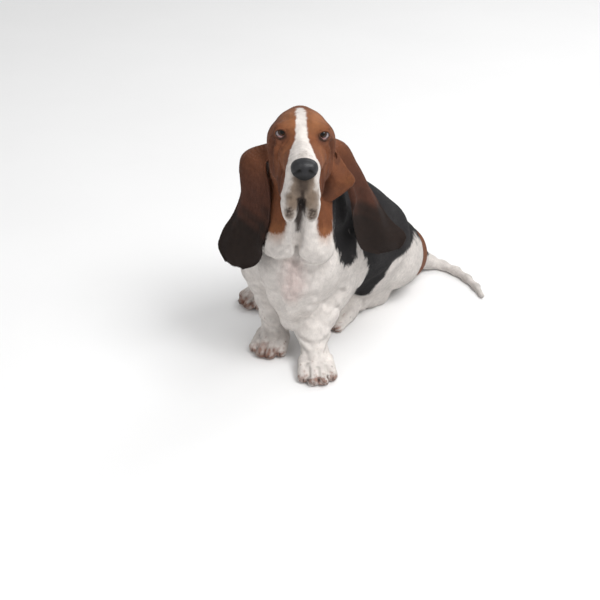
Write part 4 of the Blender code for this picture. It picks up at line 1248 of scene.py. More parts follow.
def eye_material(iris, white, haw):
    """A wet ball: pupil, iris and white by the angle from its gaze, red haw by its own share."""
    made, nodes, links, shader = new_material("wet eye")
    gaze = nodes.new("ShaderNodeAttribute")
    gaze.attribute_name = "gaze_angle"
    rings = nodes.new("ShaderNodeValToRGB")
    stops = (
        (0.000, (0.002, 0.002, 0.002)), (0.160, (0.002, 0.002, 0.002)), (0.180, tuple(part * 0.4 for part in iris)),
        (0.320, iris), (0.360, (0.008, 0.005, 0.004)), (0.400, tuple(part * 0.45 for part in white)), (0.480, white),
    )
    ramp_of = rings.color_ramp
    while len(ramp_of.elements) < len(stops):
        ramp_of.elements.new(0.5)
    for element, (where, colour) in zip(ramp_of.elements, stops):
        element.position = where
        element.color = (*colour, 1.0)
    links.new(gaze.outputs["Fac"], rings.inputs["Fac"])
    fleck = nodes.new("ShaderNodeTexNoise")
    fleck.inputs["Scale"].default_value = 600.0
    place = nodes.new("ShaderNodeTexCoord")
    links.new(place.outputs["Object"], fleck.inputs["Vector"])
    veined = nodes.new("ShaderNodeMix")
    veined.data_type = "RGBA"
    veined.inputs["B"].default_value = (*haw, 1.0)
    links.new(rings.outputs["Color"], veined.inputs["A"])
    red = nodes.new("ShaderNodeAttribute")
    red.attribute_name = "haw_share"
    links.new(red.outputs["Fac"], veined.inputs["Factor"])
    soft = nodes.new("ShaderNodeMix")
    soft.data_type = "RGBA"
    soft.blend_type = "MULTIPLY"
    soft.inputs["Factor"].default_value = 0.35
    links.new(veined.outputs["Result"], soft.inputs["A"])
    links.new(fleck.outputs["Color"], soft.inputs["B"])
    links.new(soft.outputs["Result"], shader.inputs["Base Color"])
    shader.inputs["Roughness"].default_value = 0.18
    shader.inputs["Specular IOR Level"].default_value = 0.12
    shader.inputs["Coat Weight"].default_value = 0.35
    shader.inputs["Coat Roughness"].default_value = 0.03
    return made


def mottled_material(name, first, second, scale, rough, bump=0.0):
    made, nodes, links, shader = new_material(name)
    place = nodes.new("ShaderNodeTexCoord")
    cloud = nodes.new("ShaderNodeTexNoise")
    cloud.inputs["Scale"].default_value = scale
    cloud.inputs["Detail"].default_value = 4.0
    links.new(place.outputs["Object"], cloud.inputs["Vector"])
    tone = nodes.new("ShaderNodeValToRGB")
    tone.color_ramp.elements[0].position = 0.35
    tone.color_ramp.elements[0].color = (*first, 1)
    tone.color_ramp.elements[1].position = 0.65
    tone.color_ramp.elements[1].color = (*second, 1)
    links.new(cloud.outputs["Fac"], tone.inputs["Fac"])
    links.new(tone.outputs["Color"], shader.inputs["Base Color"])
    shader.inputs["Roughness"].default_value = rough
    if bump:
        raised = nodes.new("ShaderNodeBump")
        raised.inputs["Strength"].default_value = bump
        raised.inputs["Distance"].default_value = 0.0005
        links.new(cloud.outputs["Fac"], raised.inputs["Height"])
        links.new(raised.outputs["Normal"], shader.inputs["Normal"])
    return made


# The lie of the coat: the way that the hair points, along lines down the body.


def lie_lines():
    """Each line runs the way that the hair lies, with the reach of its pull."""
    lines = [
        ([on_head(0, -0.100, -0.020), on_head(0, -0.020, 0.006), on_head(0, 0.060, 0.034),
          Vector((0.018, 0.070, 0.440)), WITHERS + Vector((0.004, 0.030, 0.040)), Vector((0.110, 0.180, 0.290)),
          Vector((0.185, 0.260, 0.190)), Vector((0.245, 0.335, 0.100)), TAIL_ROOT], 0.03),
        ([Vector((0.012, -0.080, 0.430)), Vector((0.010, -0.110, 0.310)), Vector((0.004, -0.090, 0.230)),
          Vector((-0.002, -0.040, 0.130)), Vector((0.030, 0.060, 0.070)), Vector((0.090, 0.150, 0.060))], 0.03),
        (list(TAIL_LINE), 0.02),
        ([Vector((0.056, -0.054, 0.492)), Vector((0.076, -0.078, 0.440)), Vector((0.072, -0.084, 0.380))], 0.008),
    ]
    for side in (-1, 1):
        lines += [
            ([on_head(side * 0.020, -0.105, -0.040), on_head(side * 0.036, -0.050, -0.050),
              on_head(side * 0.050, 0.010, -0.040), on_head(side * 0.050, 0.070, -0.060)], 0.02),
            ([on_head(side * 0.016, -0.112, -0.060), on_head(side * 0.026, -0.095, -0.110),
              on_head(side * 0.034, -0.030, -0.110)], 0.02),
            ([on_head(side * 0.030, -0.014, 0.004), on_head(side * 0.036, 0.020, 0.026),
              on_head(side * 0.040, 0.080, 0.020)], 0.02),
            ([Vector((0.012 + side * 0.050, -0.060, 0.430)), Vector((0.008 + side * 0.040, -0.090, 0.310))], 0.02),
        ]
    for side, leg in FORE_LEGS.items():
        paw = Vector((*leg["paw"], 0.034))
        outward = Vector((0.03 if side == "left" else -0.03, 0.0, 0.0))
        lines.append(([Vector(leg["shoulder"]) + outward + Vector((0, 0, 0.06)), Vector(leg["elbow"]) + outward,
                       Vector(leg["wrist"]), paw, paw + leg["heading"] * 0.06], 0.025))
    for leg in HIND_LEGS.values():
        paw = Vector((*leg["paw"], 0.034))
        lines.append(([Vector(leg["hip"]) + Vector((0, 0, 0.05)), Vector(leg["knee"]) - Vector((0, 0, 0.03)),
                       paw, paw + leg["heading"] * 0.06], 0.03))
    lines.append(([Vector((0.130, 0.080, 0.300)), Vector((0.175, 0.130, 0.180)), Vector((0.150, 0.120, 0.080))], 0.04))
    lines.append(([Vector((-0.070, 0.140, 0.300)), Vector((-0.020, 0.240, 0.160)), Vector((0.0, 0.220, 0.080))], 0.04))
    return lines


def lie_of_coat(points, normals, ears):
    """The direction of the hair at each point, along the skin."""
    total = np.zeros_like(points)
    for line, reach in lie_lines():
        stations = np.array([point[:] for point in line])
        for start, end in zip(stations, stations[1:]):
            along = end - start
            share = np.clip((points - start) @ along / (along @ along), 0.0, 1.0)
            away = np.linalg.norm(points - start - share[:, None] * along, axis=1)
            weight = 1.0 / (reach * reach + away * away) ** 2
            total += weight[:, None] * along / np.linalg.norm(along)
    for ear in ears:
        centre = ear.points.mean(axis=0)
        for number in np.flatnonzero(np.linalg.norm(points - centre, axis=1) < 0.20):
            _, index, away = ear.tree.find(points[number])
            if away < 0.0055:
                total[number] = ear.flow[index] * 1e9
    total -= np.sum(total * normals, axis=1)[:, None] * normals
    return total / (np.linalg.norm(total, axis=1)[:, None] + 1e-12)


# What a user would change.


class HoundSizes(bpy.types.PropertyGroup):
    """Sizes of the skin, the eyes and the claws."""

    coat_depth: FloatProperty(
        name="Coat depth", description="How far the skin lies inside the line of the flesh",
        default=0.0011, min=0.0, max=0.004, unit="LENGTH",
    )
    body_grid: FloatProperty(
        name="Body grid", description="Spacing of the skin's mesh on the body, finer on the head and paws",
        default=0.0045, min=0.002, max=0.008, unit="LENGTH",
    )
    nose_grid: FloatProperty(
        name="Nose grid", description="Spacing of the nose's mesh", default=0.0009, min=0.0006, max=0.003,
        unit="LENGTH",
    )
    lid_rim: FloatProperty(
        name="Lid rim", description="Thickness of the dark rim of the lids", default=0.0010, min=0.0004,
        max=0.003, unit="LENGTH",
    )
    claw: FloatProperty(
        name="Claw", description="Length of a front claw", default=0.0085, min=0.004, max=0.02, unit="LENGTH",
    )


class HoundCoat(bpy.types.PropertyGroup):
    """The short hair."""

    body_tufts: IntProperty(name="Body tufts", description="Tufts on neck, body and tail", default=150000, min=0)
    face_tufts: IntProperty(name="Face tufts", description="Tufts on the head", default=50000, min=0)
    ear_tufts: IntProperty(name="Ear tufts", description="Tufts on the ears", default=60000, min=0)
    leg_tufts: IntProperty(name="Leg tufts", description="Tufts on the legs and paws", default=60000, min=0)
    length: FloatProperty(
        name="Length", description="Length of a tuft on the body", default=0.0064, min=0.002, max=0.03,
        unit="LENGTH",
    )
    width: FloatProperty(
        name="Width", description="Width of a tuft on the body", default=0.00095, min=0.0003, max=0.004,
        unit="LENGTH",
    )
    lift: FloatProperty(
        name="Lift", description="How far the tips stand off the skin, as a share of the length",
        default=0.065, min=0.0, max=1.0, subtype="FACTOR",
    )


def colour_property(name, description, default):
    return FloatVectorProperty(name=name, description=description, subtype="COLOR", size=3, min=0, max=1,
                               default=default)


class HoundColours(bpy.types.PropertyGroup):
    """Colours of the coat, the eyes and the hide."""

    white: colour_property("White", "Chest, legs, muzzle, blaze and tail", (0.78, 0.73, 0.69))
    tan: colour_property("Tan", "Head and the top of the ears", (0.205, 0.072, 0.031))
    # Orange is also painted light on the corner of the left ear's front fold.
    orange: colour_property("Orange", "Bright tan over the eyes and on the cheeks", (0.40, 0.165, 0.066))
    # Mahogany is also painted shade in the folds of the face and where the left ear's front fold meets the cheek.
    mahogany: colour_property("Mahogany", "Deep red-brown of the ears and folds", (0.098, 0.036, 0.021))
    ear_tip: colour_property("Ear tip", "Dark brown of the lower ears", (0.022, 0.013, 0.010))
    ear_lining: colour_property("Ear lining", "Pinkish hide inside the ears", (0.260, 0.125, 0.090))
    black: colour_property("Black", "Back, flanks and shoulder", (0.022, 0.020, 0.021))
    # Umber is also painted shade along the brows, under the nose, between the flews, on the throat below them, between
    # the toes and low on three paws.
    umber: colour_property("Umber", "Lid rims, lips and dark ticks", (0.028, 0.016, 0.012))
    # Grey is painted shade on the muzzle below the nose and down the flews, and grey ticking elsewhere.
    grey: colour_property("Grey", "Shaded and thin white hair", (0.230, 0.170, 0.125))
    rust: colour_property("Rust", "Red ticks on the paws", (0.270, 0.110, 0.065))
    pink: colour_property("Pink", "Thin hair on the chest", (0.660, 0.500, 0.470))
    nose: colour_property("Nose", "Nose leather", (0.008, 0.008, 0.009))
    iris: colour_property("Iris", "Iris of the eyes", (0.060, 0.026, 0.012))
    eye_white: colour_property("Eye white", "White of the eyes", (0.400, 0.350, 0.370))
    haw: colour_property("Haw", "Pink inside of the lower lids", (0.430, 0.210, 0.200))
    claw: colour_property("Claw", "Horn of the claws", (0.150, 0.100, 0.080))
    floor: colour_property("Floor", "The plain floor", (0.90, 0.90, 0.90))


COLOUR_NAMES = ("white", "tan", "orange", "mahogany", "ear_tip", "ear_lining", "black", "umber", "grey",
                "rust", "pink")


def chosen_colours():
    group = bpy.context.scene.hound_colours
    return {name: np.array(getattr(group, name)[:], float) for name in COLOUR_NAMES}


SHARED = {}


def flesh_of_dog():
    """The flesh, its hollows and the ears, worked out once."""
    if not SHARED:
        SHARED["flesh"] = whole_flesh()
        SHARED["hollows"] = head_hollows()
        SHARED["ears"] = [Ear(side, SHARED["flesh"], SHARED["hollows"]) for side in (-1, 1)]
    return SHARED["flesh"], SHARED["hollows"], SHARED["ears"]


def paint(obj, points, ears):
    """Writes the coat's colour onto a mesh."""
    colours = painted(points, ears, chosen_colours())
    layer = obj.data.attributes.new("coat_colour", "FLOAT_COLOR", "POINT")
    layer.data.foreach_set("color", np.column_stack([colours, np.ones(len(colours))]).astype(np.float32).ravel())
    return colours


def set_down(obj, slot, *replaced):
    """Moves a finished piece from the dog's frame onto the solids' and joins it to the body."""
    obj.data.transform(Matrix.Translation(SET_DOWN))
    obj.data.update()
    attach(obj, "root")
    if replaced:
        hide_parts(*replaced)
    return obj


class HOUND_OT_skin(bpy.types.Operator):
    """Make the one skin of the dog, ears included, with its folds and markings"""

    bl_idname = "hound.skin"
    bl_label = "Skin"
    bl_options = {"REGISTER", "UNDO"}

    def execute(self, context):
        sizes = context.scene.hound_sizes
        flesh, hollows, ears = flesh_of_dog()
        skin = rough_skin("skin", flesh, sizes.body_grid)
        settle(skin, flesh, (), sizes.coat_depth, 2)
        for level in range(3):
            self.refine(skin, level)
            settle(skin, flesh, hollows, sizes.coat_depth, 2)
        places = coordinates(skin.data)
        _, slope = slopes(places, flesh, hollows)
        normals = slope / (np.linalg.norm(slope, axis=1)[:, None] + 1e-9)
        places = press_folds(places, normals)
        places = press_lids(evened(places, edge_pairs(skin.data), 0.30))
        places[:, 2] = np.maximum(places[:, 2], 0.0006)
        set_coordinates(skin.data, places)
        for sheet in (*(ear.solid() for ear in ears), front_fold(), root_lump()):
            fuse = skin.modifiers.new("ear", "BOOLEAN")
            fuse.operation = "UNION"
            fuse.solver = "MANIFOLD"
            fuse.object = sheet
            apply_modifiers(skin)
            bpy.data.objects.remove(sheet, do_unlink=True)
        mesh = skin.data
        places = coordinates(mesh)
        roots = np.array([ear.points[ear.down < 0.16].mean(axis=0) for ear in ears])
        away = np.min(np.linalg.norm(places[:, None] - roots[None], axis=2), axis=1)
        soften = 0.4 * (1 - ramp(away, 0.030, 0.050))
        for _ in range(3):
            places = evened(places, edge_pairs(mesh), soften)
        inside = 0.0002
        low, high = (np.array(corner) - SET_DOWN for corner in (CAD_LOW, CAD_HIGH))
        places = np.clip(places, low + inside, high - inside)
        set_coordinates(mesh, places)
        mesh.polygons.foreach_set("use_smooth", [True] * len(mesh.polygons))
        paint(skin, places, ears)
        mesh.materials.clear()
        mesh.materials.append(coat_material("skin under the coat", 950.0, 0.25, 0.30, 0.03))
        for layer in list(mesh.uv_layers):
            mesh.uv_layers.remove(layer)
        make_active(skin)
        bpy.ops.object.mode_set(mode="EDIT")
        bpy.ops.mesh.select_all(action="SELECT")
        bpy.ops.uv.smart_project(angle_limit=math.radians(66), island_margin=0.002)
        bpy.ops.object.mode_set(mode="OBJECT")
        mesh.uv_layers[0].name = "OFBake"
        set_down(skin, "tan_coat", *FLESH_NODES)
        return {"FINISHED"}

    def refine(self, skin, level):
        """Splits faces in four: first on the face and the paws, then round the lids and lips, then in the lids."""
        mesh = skin.data
        middles = np.empty(len(mesh.polygons) * 3, np.float32)
        mesh.polygons.foreach_get("center", middles)
        middles = middles.reshape(-1, 3).astype(float)
        if level == 0:
            face = np.array((HEAD @ Vector((0.0, -0.045, -0.050)))[:])
            chosen = np.linalg.norm((middles - face) / (0.075, 0.095, 0.085), axis=1) < 1
            for legs in (FORE_LEGS, HIND_LEGS):
                for leg in legs.values():
                    paw = np.array((Vector((*leg["paw"], 0.020)) + leg["heading"] * 0.018)[:])
                    chosen |= np.linalg.norm(middles - paw, axis=1) < 0.056
        elif level == 1:
            lips = np.array(on_head(0.0, -0.110, -0.085)[:])
            chosen = np.linalg.norm((middles - lips) / (0.034, 0.034, 0.050), axis=1) < 1
            for side in (-1, 1):
                chosen |= lid_share(middles, side) < 2.4
        else:
            chosen = np.minimum(lid_share(middles, -1), lid_share(middles, 1)) < 1.5
        make_active(skin)
        bpy.ops.object.mode_set(mode="EDIT")
        bpy.ops.mesh.select_mode(type="FACE")
        bpy.ops.mesh.select_all(action="DESELECT")
        bpy.ops.object.mode_set(mode="OBJECT")
        mesh.polygons.foreach_set("select", chosen)
        bpy.ops.object.mode_set(mode="EDIT")
        bpy.ops.mesh.subdivide(number_cuts=1)
        bpy.ops.mesh.select_all(action="SELECT")
        bpy.ops.mesh.quads_convert_to_tris()
        bpy.ops.object.mode_set(mode="OBJECT")


class HOUND_OT_coat(bpy.types.Operator):
    """Lay the short coat over the skin, tuft by tuft"""

    bl_idname = "hound.coat"
    bl_label = "Coat"
    bl_options = {"REGISTER", "UNDO"}

    def execute(self, context):
        coat = context.scene.hound_coat
        _, _, ears = flesh_of_dog()
        skin = bpy.data.objects["skin"]
        self.read_skin(skin)
        finish = coat_material("short hair", 1300.0, 0.18, 0.0, 0.04)
        zones = self.zones(ears)
        counts = {"face": coat.face_tufts, "ears": coat.ear_tufts, "legs": coat.leg_tufts, "body": coat.body_tufts}
        scales = {"face": (0.52, 0.62), "ears": (0.72, 0.80), "legs": (0.70, 0.78), "body": (1.0, 1.0)}
        for seed, zone in enumerate(counts):
            count = counts[zone]
            faces = np.flatnonzero(zones == zone)
            parts = 1 + count // 49000
            for part in range(parts):
                name = f"coat_{zone}" if parts == 1 else f"coat_{zone}_{part + 1}"
                tufts = self.tufts(name, faces, count // parts, scales[zone], coat, ears, 300 + 10 * seed + part)
                tufts.data.materials.append(finish)
                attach(tufts, "root")
        return {"FINISHED"}

    def read_skin(self, skin):
        """Corners, normals, areas and unwrapped corners of the skin's triangles."""
        mesh = skin.data
        mesh.calc_loop_triangles()
        count = len(mesh.loop_triangles)
        corners = np.empty(count * 3, np.int64)
        loops = np.empty(count * 3, np.int64)
        mesh.loop_triangles.foreach_get("vertices", corners)
        mesh.loop_triangles.foreach_get("loops", loops)
        places = coordinates(mesh) - np.array(SET_DOWN[:])
        normals = np.empty(len(mesh.vertices) * 3, np.float32)
        mesh.vertices.foreach_get("normal", normals)
        flat = np.empty(len(mesh.loops) * 2, np.float32)
        mesh.uv_layers["OFBake"].data.foreach_get("uv", flat)
        self.corners = places[corners].reshape(-1, 3, 3)
        self.normals = normals.reshape(-1, 3)[corners].reshape(-1, 3, 3)
        self.unwrap = flat.reshape(-1, 2)[loops].reshape(-1, 3, 2)
        sides = self.corners[:, 1:] - self.corners[:, :1]
        self.areas = 0.5 * np.linalg.norm(np.cross(sides[:, 0], sides[:, 1]), axis=1)
        self.middles = self.corners.mean(axis=1)

    def zones(self, ears):
        """Which part of the coat each triangle of the skin carries."""
        zones = np.full(len(self.middles), "body", dtype="<U5")
        local = np.array(HEAD.inverted().to_3x3()) @ (self.middles - np.array(EYE_LINE[:])).T
        x, y, z = local
        zones[(y < 0.110) & (z > -0.155) & (z + 0.4 * y > -0.165) & (np.abs(x) < 0.098)] = "face"
        for legs in (FORE_LEGS, HIND_LEGS):
            for leg in legs.values():
                ankle = leg.get("wrist", leg.get("hock"))
                line = [(*ankle, 0.055), (*leg["paw"], 0.03, 0.060)]
                zones[segment_distance(self.middles, line) < 0] = "legs"
        for ear in ears:
            centre = ear.points.mean(axis=0)
            for number in np.flatnonzero(np.linalg.norm(self.middles - centre, axis=1) < 0.20):
                _, index, away = ear.tree.find(self.middles[number])
                if away < 0.0045 and ear.down[index] > 0.03:
                    zones[number] = "ears"
        fold, _ = fold_grid()
        near = np.flatnonzero(np.linalg.norm(self.middles - fold.mean(axis=0), axis=1) < 0.10)
        away = np.min([np.linalg.norm(self.middles[near] - point, axis=1) for point in fold], axis=0)
        zones[near[away < 0.004]] = "ears"
        bare = self.middles[:, 2] < 0.0030
        for side in (-1, 1):
            near = np.linalg.norm(self.middles - np.array(eye_centre(side)[:]), axis=1) < 0.024
            bare |= near & (lid_share(self.middles, side) < 1.20)
        nose = np.array(on_head(0.0, -0.110, -0.038)[:])
        bare |= np.linalg.norm(self.middles - nose, axis=1) < 0.019
        zones[bare] = "bare"
        return zones

    def tufts(self, name, faces, count, scale, coat, ears, seed):
        """Thin closed wedges that lie along the skin, their roots sunk in it and their tips just off it."""
        draw = np.random.default_rng(seed)
        weight = self.areas[faces]
        chosen = faces[draw.choice(len(faces), size=count, p=weight / weight.sum())]
        first, second = draw.random(count), draw.random(count)
        over = first + second > 1
        first[over], second[over] = 1 - first[over], 1 - second[over]
        mix = np.column_stack([1 - first - second, first, second])
        root = np.einsum("nk,nkd->nd", mix, self.corners[chosen])
        normal = np.einsum("nk,nkd->nd", mix, self.normals[chosen])
        normal /= np.linalg.norm(normal, axis=1)[:, None]
        flat = np.einsum("nk,nkd->nd", mix, self.unwrap[chosen])
        along = lie_of_coat(root, normal, ears)
        across = np.cross(normal, along)
        along += across * draw.normal(0.0, 0.16, count)[:, None]
        along /= np.linalg.norm(along, axis=1)[:, None]
        across = np.cross(normal, along)
        length = coat.length * scale[0] * draw.uniform(0.65, 1.25, count)
        width = coat.width * scale[1] * draw.uniform(0.7, 1.2, count)
        lift = coat.lift * draw.uniform(0.4, 1.5, count)
        sunk = root - normal * 0.0004
        left = sunk - across * width[:, None] / 2
        right = sunk + across * width[:, None] / 2
        ridge = root + along * (0.38 * length)[:, None] + normal * (0.00025 + 0.55 * lift * length)[:, None]
        tip = root + along * length[:, None] + normal * (lift * length)[:, None]
        low, high = (np.array(corner) - SET_DOWN for corner in (CAD_LOW, CAD_HIGH))
        ridge, tip = np.clip(ridge, low, high), np.clip(tip, low + (0, 0, 0.0012), high)
        points = np.stack([left, right, ridge, tip], axis=1).reshape(-1, 3)
        base = 4 * np.arange(count)[:, None, None]
        faces = (base + np.array([(0, 1, 3), (0, 2, 1), (1, 2, 3), (2, 0, 3)])[None]).reshape(-1, 3)
        mesh = bpy.data.meshes.new(name)
        mesh.vertices.add(len(points))
        mesh.loops.add(faces.size)
        mesh.polygons.add(len(faces))
        mesh.vertices.foreach_set("co", (points + np.array(SET_DOWN[:])).astype(np.float32).ravel())
        mesh.loops.foreach_set("vertex_index", faces.astype(np.int32).ravel())
        mesh.polygons.foreach_set("loop_start", np.arange(0, faces.size, 3, dtype=np.int32))
        mesh.polygons.foreach_set("use_smooth", [True] * len(faces))
        mesh.update(calc_edges=True)
        facing = normal[:, None] + 0.35 * np.stack([-across, across, along * 0, along], axis=1)
        facing /= np.linalg.norm(facing, axis=2)[:, :, None]
        mesh.normals_split_custom_set_from_vertices(facing.reshape(-1, 3).astype(np.float32))
        made = bpy.data.objects.new(name, mesh)
        bpy.context.scene.collection.objects.link(made)
        colours = painted(root, ears, chosen_colours())
        spread = 0.05 + 0.09 * (colours[:, 0] < 0.4)
        colours *= (1 + spread * draw.normal(0.0, 1.0, count))[:, None]
        colours = np.repeat(colours, 4, axis=0)
        colours[3::4] *= 1.05
        layer = mesh.attributes.new("coat_colour", "FLOAT_COLOR", "POINT")
        filled = np.column_stack([np.clip(colours, 0, 1), np.ones(len(colours))])
        layer.data.foreach_set("color", filled.astype(np.float32).ravel())
        patch = np.array([(0, 0), (0.003, 0), (0.0015, 0.0012), (0.0015, 0.003)])
        unfolded = np.clip(flat[:, None] + patch[None] - 0.0015, 0, 1).reshape(-1, 2)
        unwrap = mesh.uv_layers.new(name="OFBake")
        unwrap.data.foreach_set("uv", unfolded[faces.ravel()].astype(np.float32).ravel())
        return made


class HOUND_OT_eyes(bpy.types.Operator):
    """Make both eyes, the dark rims of their lids and the red haw below them"""

    bl_idname = "hound.eyes"
    bl_label = "Eyes"
    bl_options = {"REGISTER", "UNDO"}

    def execute(self, context):
        colours, sizes = context.scene.hound_colours, context.scene.hound_sizes
        wet = eye_material(tuple(colours.iris), tuple(colours.eye_white), tuple(colours.haw))
        dark = mottled_material("lid rim", tuple(colours.umber), tuple(c * 1.6 for c in colours.umber), 500.0, 0.35)
        red = mottled_material("haw", tuple(colours.haw), tuple(c * 0.7 for c in colours.haw), 300.0, 0.22)
        for side, name in ((-1, "right"), (1, "left")):
            self.ball(side, name).data.materials.append(wet)
            upper = self.rim(side, 0, 360, 0.0137, sizes.lid_rim, sizes.lid_rim)
            upper.name = "lid_rim_" + name
            upper.data.materials.append(dark)
            set_down(upper, "eye")
            lower = self.rim(side, 188, 352, 0.0127, 0.0004, 0.0019)
            lower.name = "haw_" + name
            lower.data.materials.append(red)
            set_down(lower, "eye")
        return {"FINISHED"}

    def ball(self, side, name):
        """The ball with a low dome over its iris, and the angle of each point from the gaze."""
        deselect_all()
        bpy.ops.mesh.primitive_uv_sphere_add(segments=64, ring_count=40, radius=EYE_RADIUS)
        ball = bpy.context.object
        ball.name = "eyeball_" + name
        gaze = (Vector((0.0, -2.19, 1.40)) - eye_centre(side)).normalized()
        gaze = (gaze + Vector((0.03, 0.0, 0.10))).normalized()
        turn = gaze.to_track_quat("Z", "Y").to_matrix()
        places = coordinates(ball.data)
        angle = np.arccos(np.clip(places[:, 2] / EYE_RADIUS, -1, 1))
        dome = 0.0007 * (1 - ramp(angle, 0.30, 0.62))
        places *= (1 + dome / EYE_RADIUS)[:, None]
        places = places @ np.array(turn).T
        down = places @ np.array(eye_frame(side))[:, 2]
        set_coordinates(ball.data, places + np.array(eye_centre(side)[:]))
        ball.data.polygons.foreach_set("use_smooth", [True] * len(ball.data.polygons))
        gaze_layer = ball.data.attributes.new("gaze_angle", "FLOAT", "POINT")
        gaze_layer.data.foreach_set("value", (angle / math.pi * 2).astype(np.float32))
        haw = 0.85 * ramp(-down, 0.0020, 0.0062)
        haw_layer = ball.data.attributes.new("haw_share", "FLOAT", "POINT")
        haw_layer.data.foreach_set("value", haw.astype(np.float32))
        return set_down(ball, "eye", "eye_" + name)

    def rim(self, side, first, last, reach, thin, thick):
        """A tube that follows the edge of the lids, thickest half way along."""
        centre = eye_centre(side)
        closed = last - first == 360
        count = 64
        stations = []
        for step in range(count + (0 if closed else 1)):
            share = step / count
            place = lid_edge(side, math.radians(first + (last - first) * share), reach)
            swell = thin + (thick - thin) * math.sin(math.pi * share)
            stations.append((place, (place - centre).normalized(), swell))
        rings, points, faces = 8, [], []
        for index, (place, outward, swell) in enumerate(stations):
            after = stations[(index + 1) % len(stations)][0] if closed else stations[min(index + 1, count)][0]
            before = stations[index - 1][0] if closed else stations[max(index - 1, 0)][0]
            across = (after - before).normalized().cross(outward)
            for corner in range(rings):
                angle = 2 * math.pi * corner / rings
                points.append((place + swell * (outward * math.cos(angle) + across * math.sin(angle)))[:])
        spans = len(stations) if closed else len(stations) - 1
        for index in range(spans):
            after = (index + 1) % len(stations)
            for corner in range(rings):
                other = (corner + 1) % rings
                faces.append((index * rings + corner, index * rings + other,
                              after * rings + other, after * rings + corner))
        if not closed:
            faces.append(tuple(range(rings - 1, -1, -1)))
            faces.append(tuple((len(stations) - 1) * rings + corner for corner in range(rings)))
        made = object_from("rim", points, faces)
        make_active(made)
        bpy.ops.object.mode_set(mode="EDIT")
        bpy.ops.mesh.select_all(action="SELECT")
        bpy.ops.mesh.normals_make_consistent(inside=False)
        bpy.ops.object.mode_set(mode="OBJECT")
        return made


class HOUND_OT_nose(bpy.types.Operator):
    """Make the nose leather with its nostrils"""

    bl_idname = "hound.nose"
    bl_label = "Nose"
    bl_options = {"REGISTER", "UNDO"}

    def execute(self, context):
        flesh = [
            head_ball((0.0, -0.1065, -0.0350), (0.0222, 0.0165, 0.0150), 0.006),
            head_ball((0.0, -0.1070, -0.0420), (0.0185, 0.0160, 0.0165), 0.008),
            head_ball((0.0120, -0.1095, -0.0380), (0.0098, 0.0125, 0.0125), 0.006),
            head_ball((-0.0120, -0.1095, -0.0380), (0.0098, 0.0125, 0.0125), 0.006),
        ]
        nose = rough_skin("nose_leather", flesh, context.scene.hound_sizes.nose_grid)
        settle(nose, flesh, (), 0.0003, 6)
        places = coordinates(nose.data)
        _, slope = slopes(places, flesh, ())
        normals = slope / (np.linalg.norm(slope, axis=1)[:, None] + 1e-9)
        front = np.array(HEAD.to_3x3() @ Vector((0.0, -1.0, 0.0)))
        facing = np.clip(normals @ front * 2.5, 0.0, 1.0)
        # The depth of each nostril, which also sets how dark its painted shade is.
        pit = np.zeros(len(places))
        for side in (-1, 1):
            for x, y, z, width in ((0.0090, -0.1235, -0.0392, 0.0028), (0.0110, -0.1225, -0.0402, 0.0027),
                                   (0.0134, -0.1208, -0.0416, 0.0023), (0.0158, -0.1188, -0.0434, 0.0019),
                                   (0.0180, -0.1165, -0.0456, 0.0015)):
                away = np.linalg.norm(places - np.array(on_head(side * x, y, z)[:]), axis=1)
                pit = np.maximum(pit, np.exp(-((away / (width * 1.25)) ** 2)) * width / 0.0026)
        seam = segment_distance(places, head_line((0.0, -0.1260, -0.0360, 0.0), (0.0, -0.1230, -0.0600, 0.0)))
        places -= ((0.0030 * pit * facing) + 0.0007 * np.exp(-((seam / 0.0011) ** 2)))[:, None] * normals
        pairs = edge_pairs(nose.data)
        for _ in range(3):
            places = evened(places, pairs, 0.5)
        set_coordinates(nose.data, places)
        # Painted shade on the underside of the nose, darker further down.
        below = 0.85 * ramp(places @ np.array(HEAD.to_3x3() @ Vector((0.0, 0.0, -1.0))), *self.under(places))
        layer = nose.data.attributes.new("pit", "FLOAT", "POINT")
        layer.data.foreach_set("value", np.clip(1.3 * pit * facing + below, 0, 1).astype(np.float32))
        nose.data.polygons.foreach_set("use_smooth", [True] * len(nose.data.polygons))
        nose.data.materials.append(nose_material(tuple(context.scene.hound_colours.nose)))
        set_down(nose, "nose_leather", "nose")
        return {"FINISHED"}

    def under(self, places):
        """Where the painted shade of the nose's underside starts and ends, measured down the head."""
        down = np.array(HEAD.to_3x3() @ Vector((0.0, 0.0, -1.0)))
        middle = np.array(on_head(0.0, -0.110, -0.040)[:]) @ down
        return middle, middle + 0.014


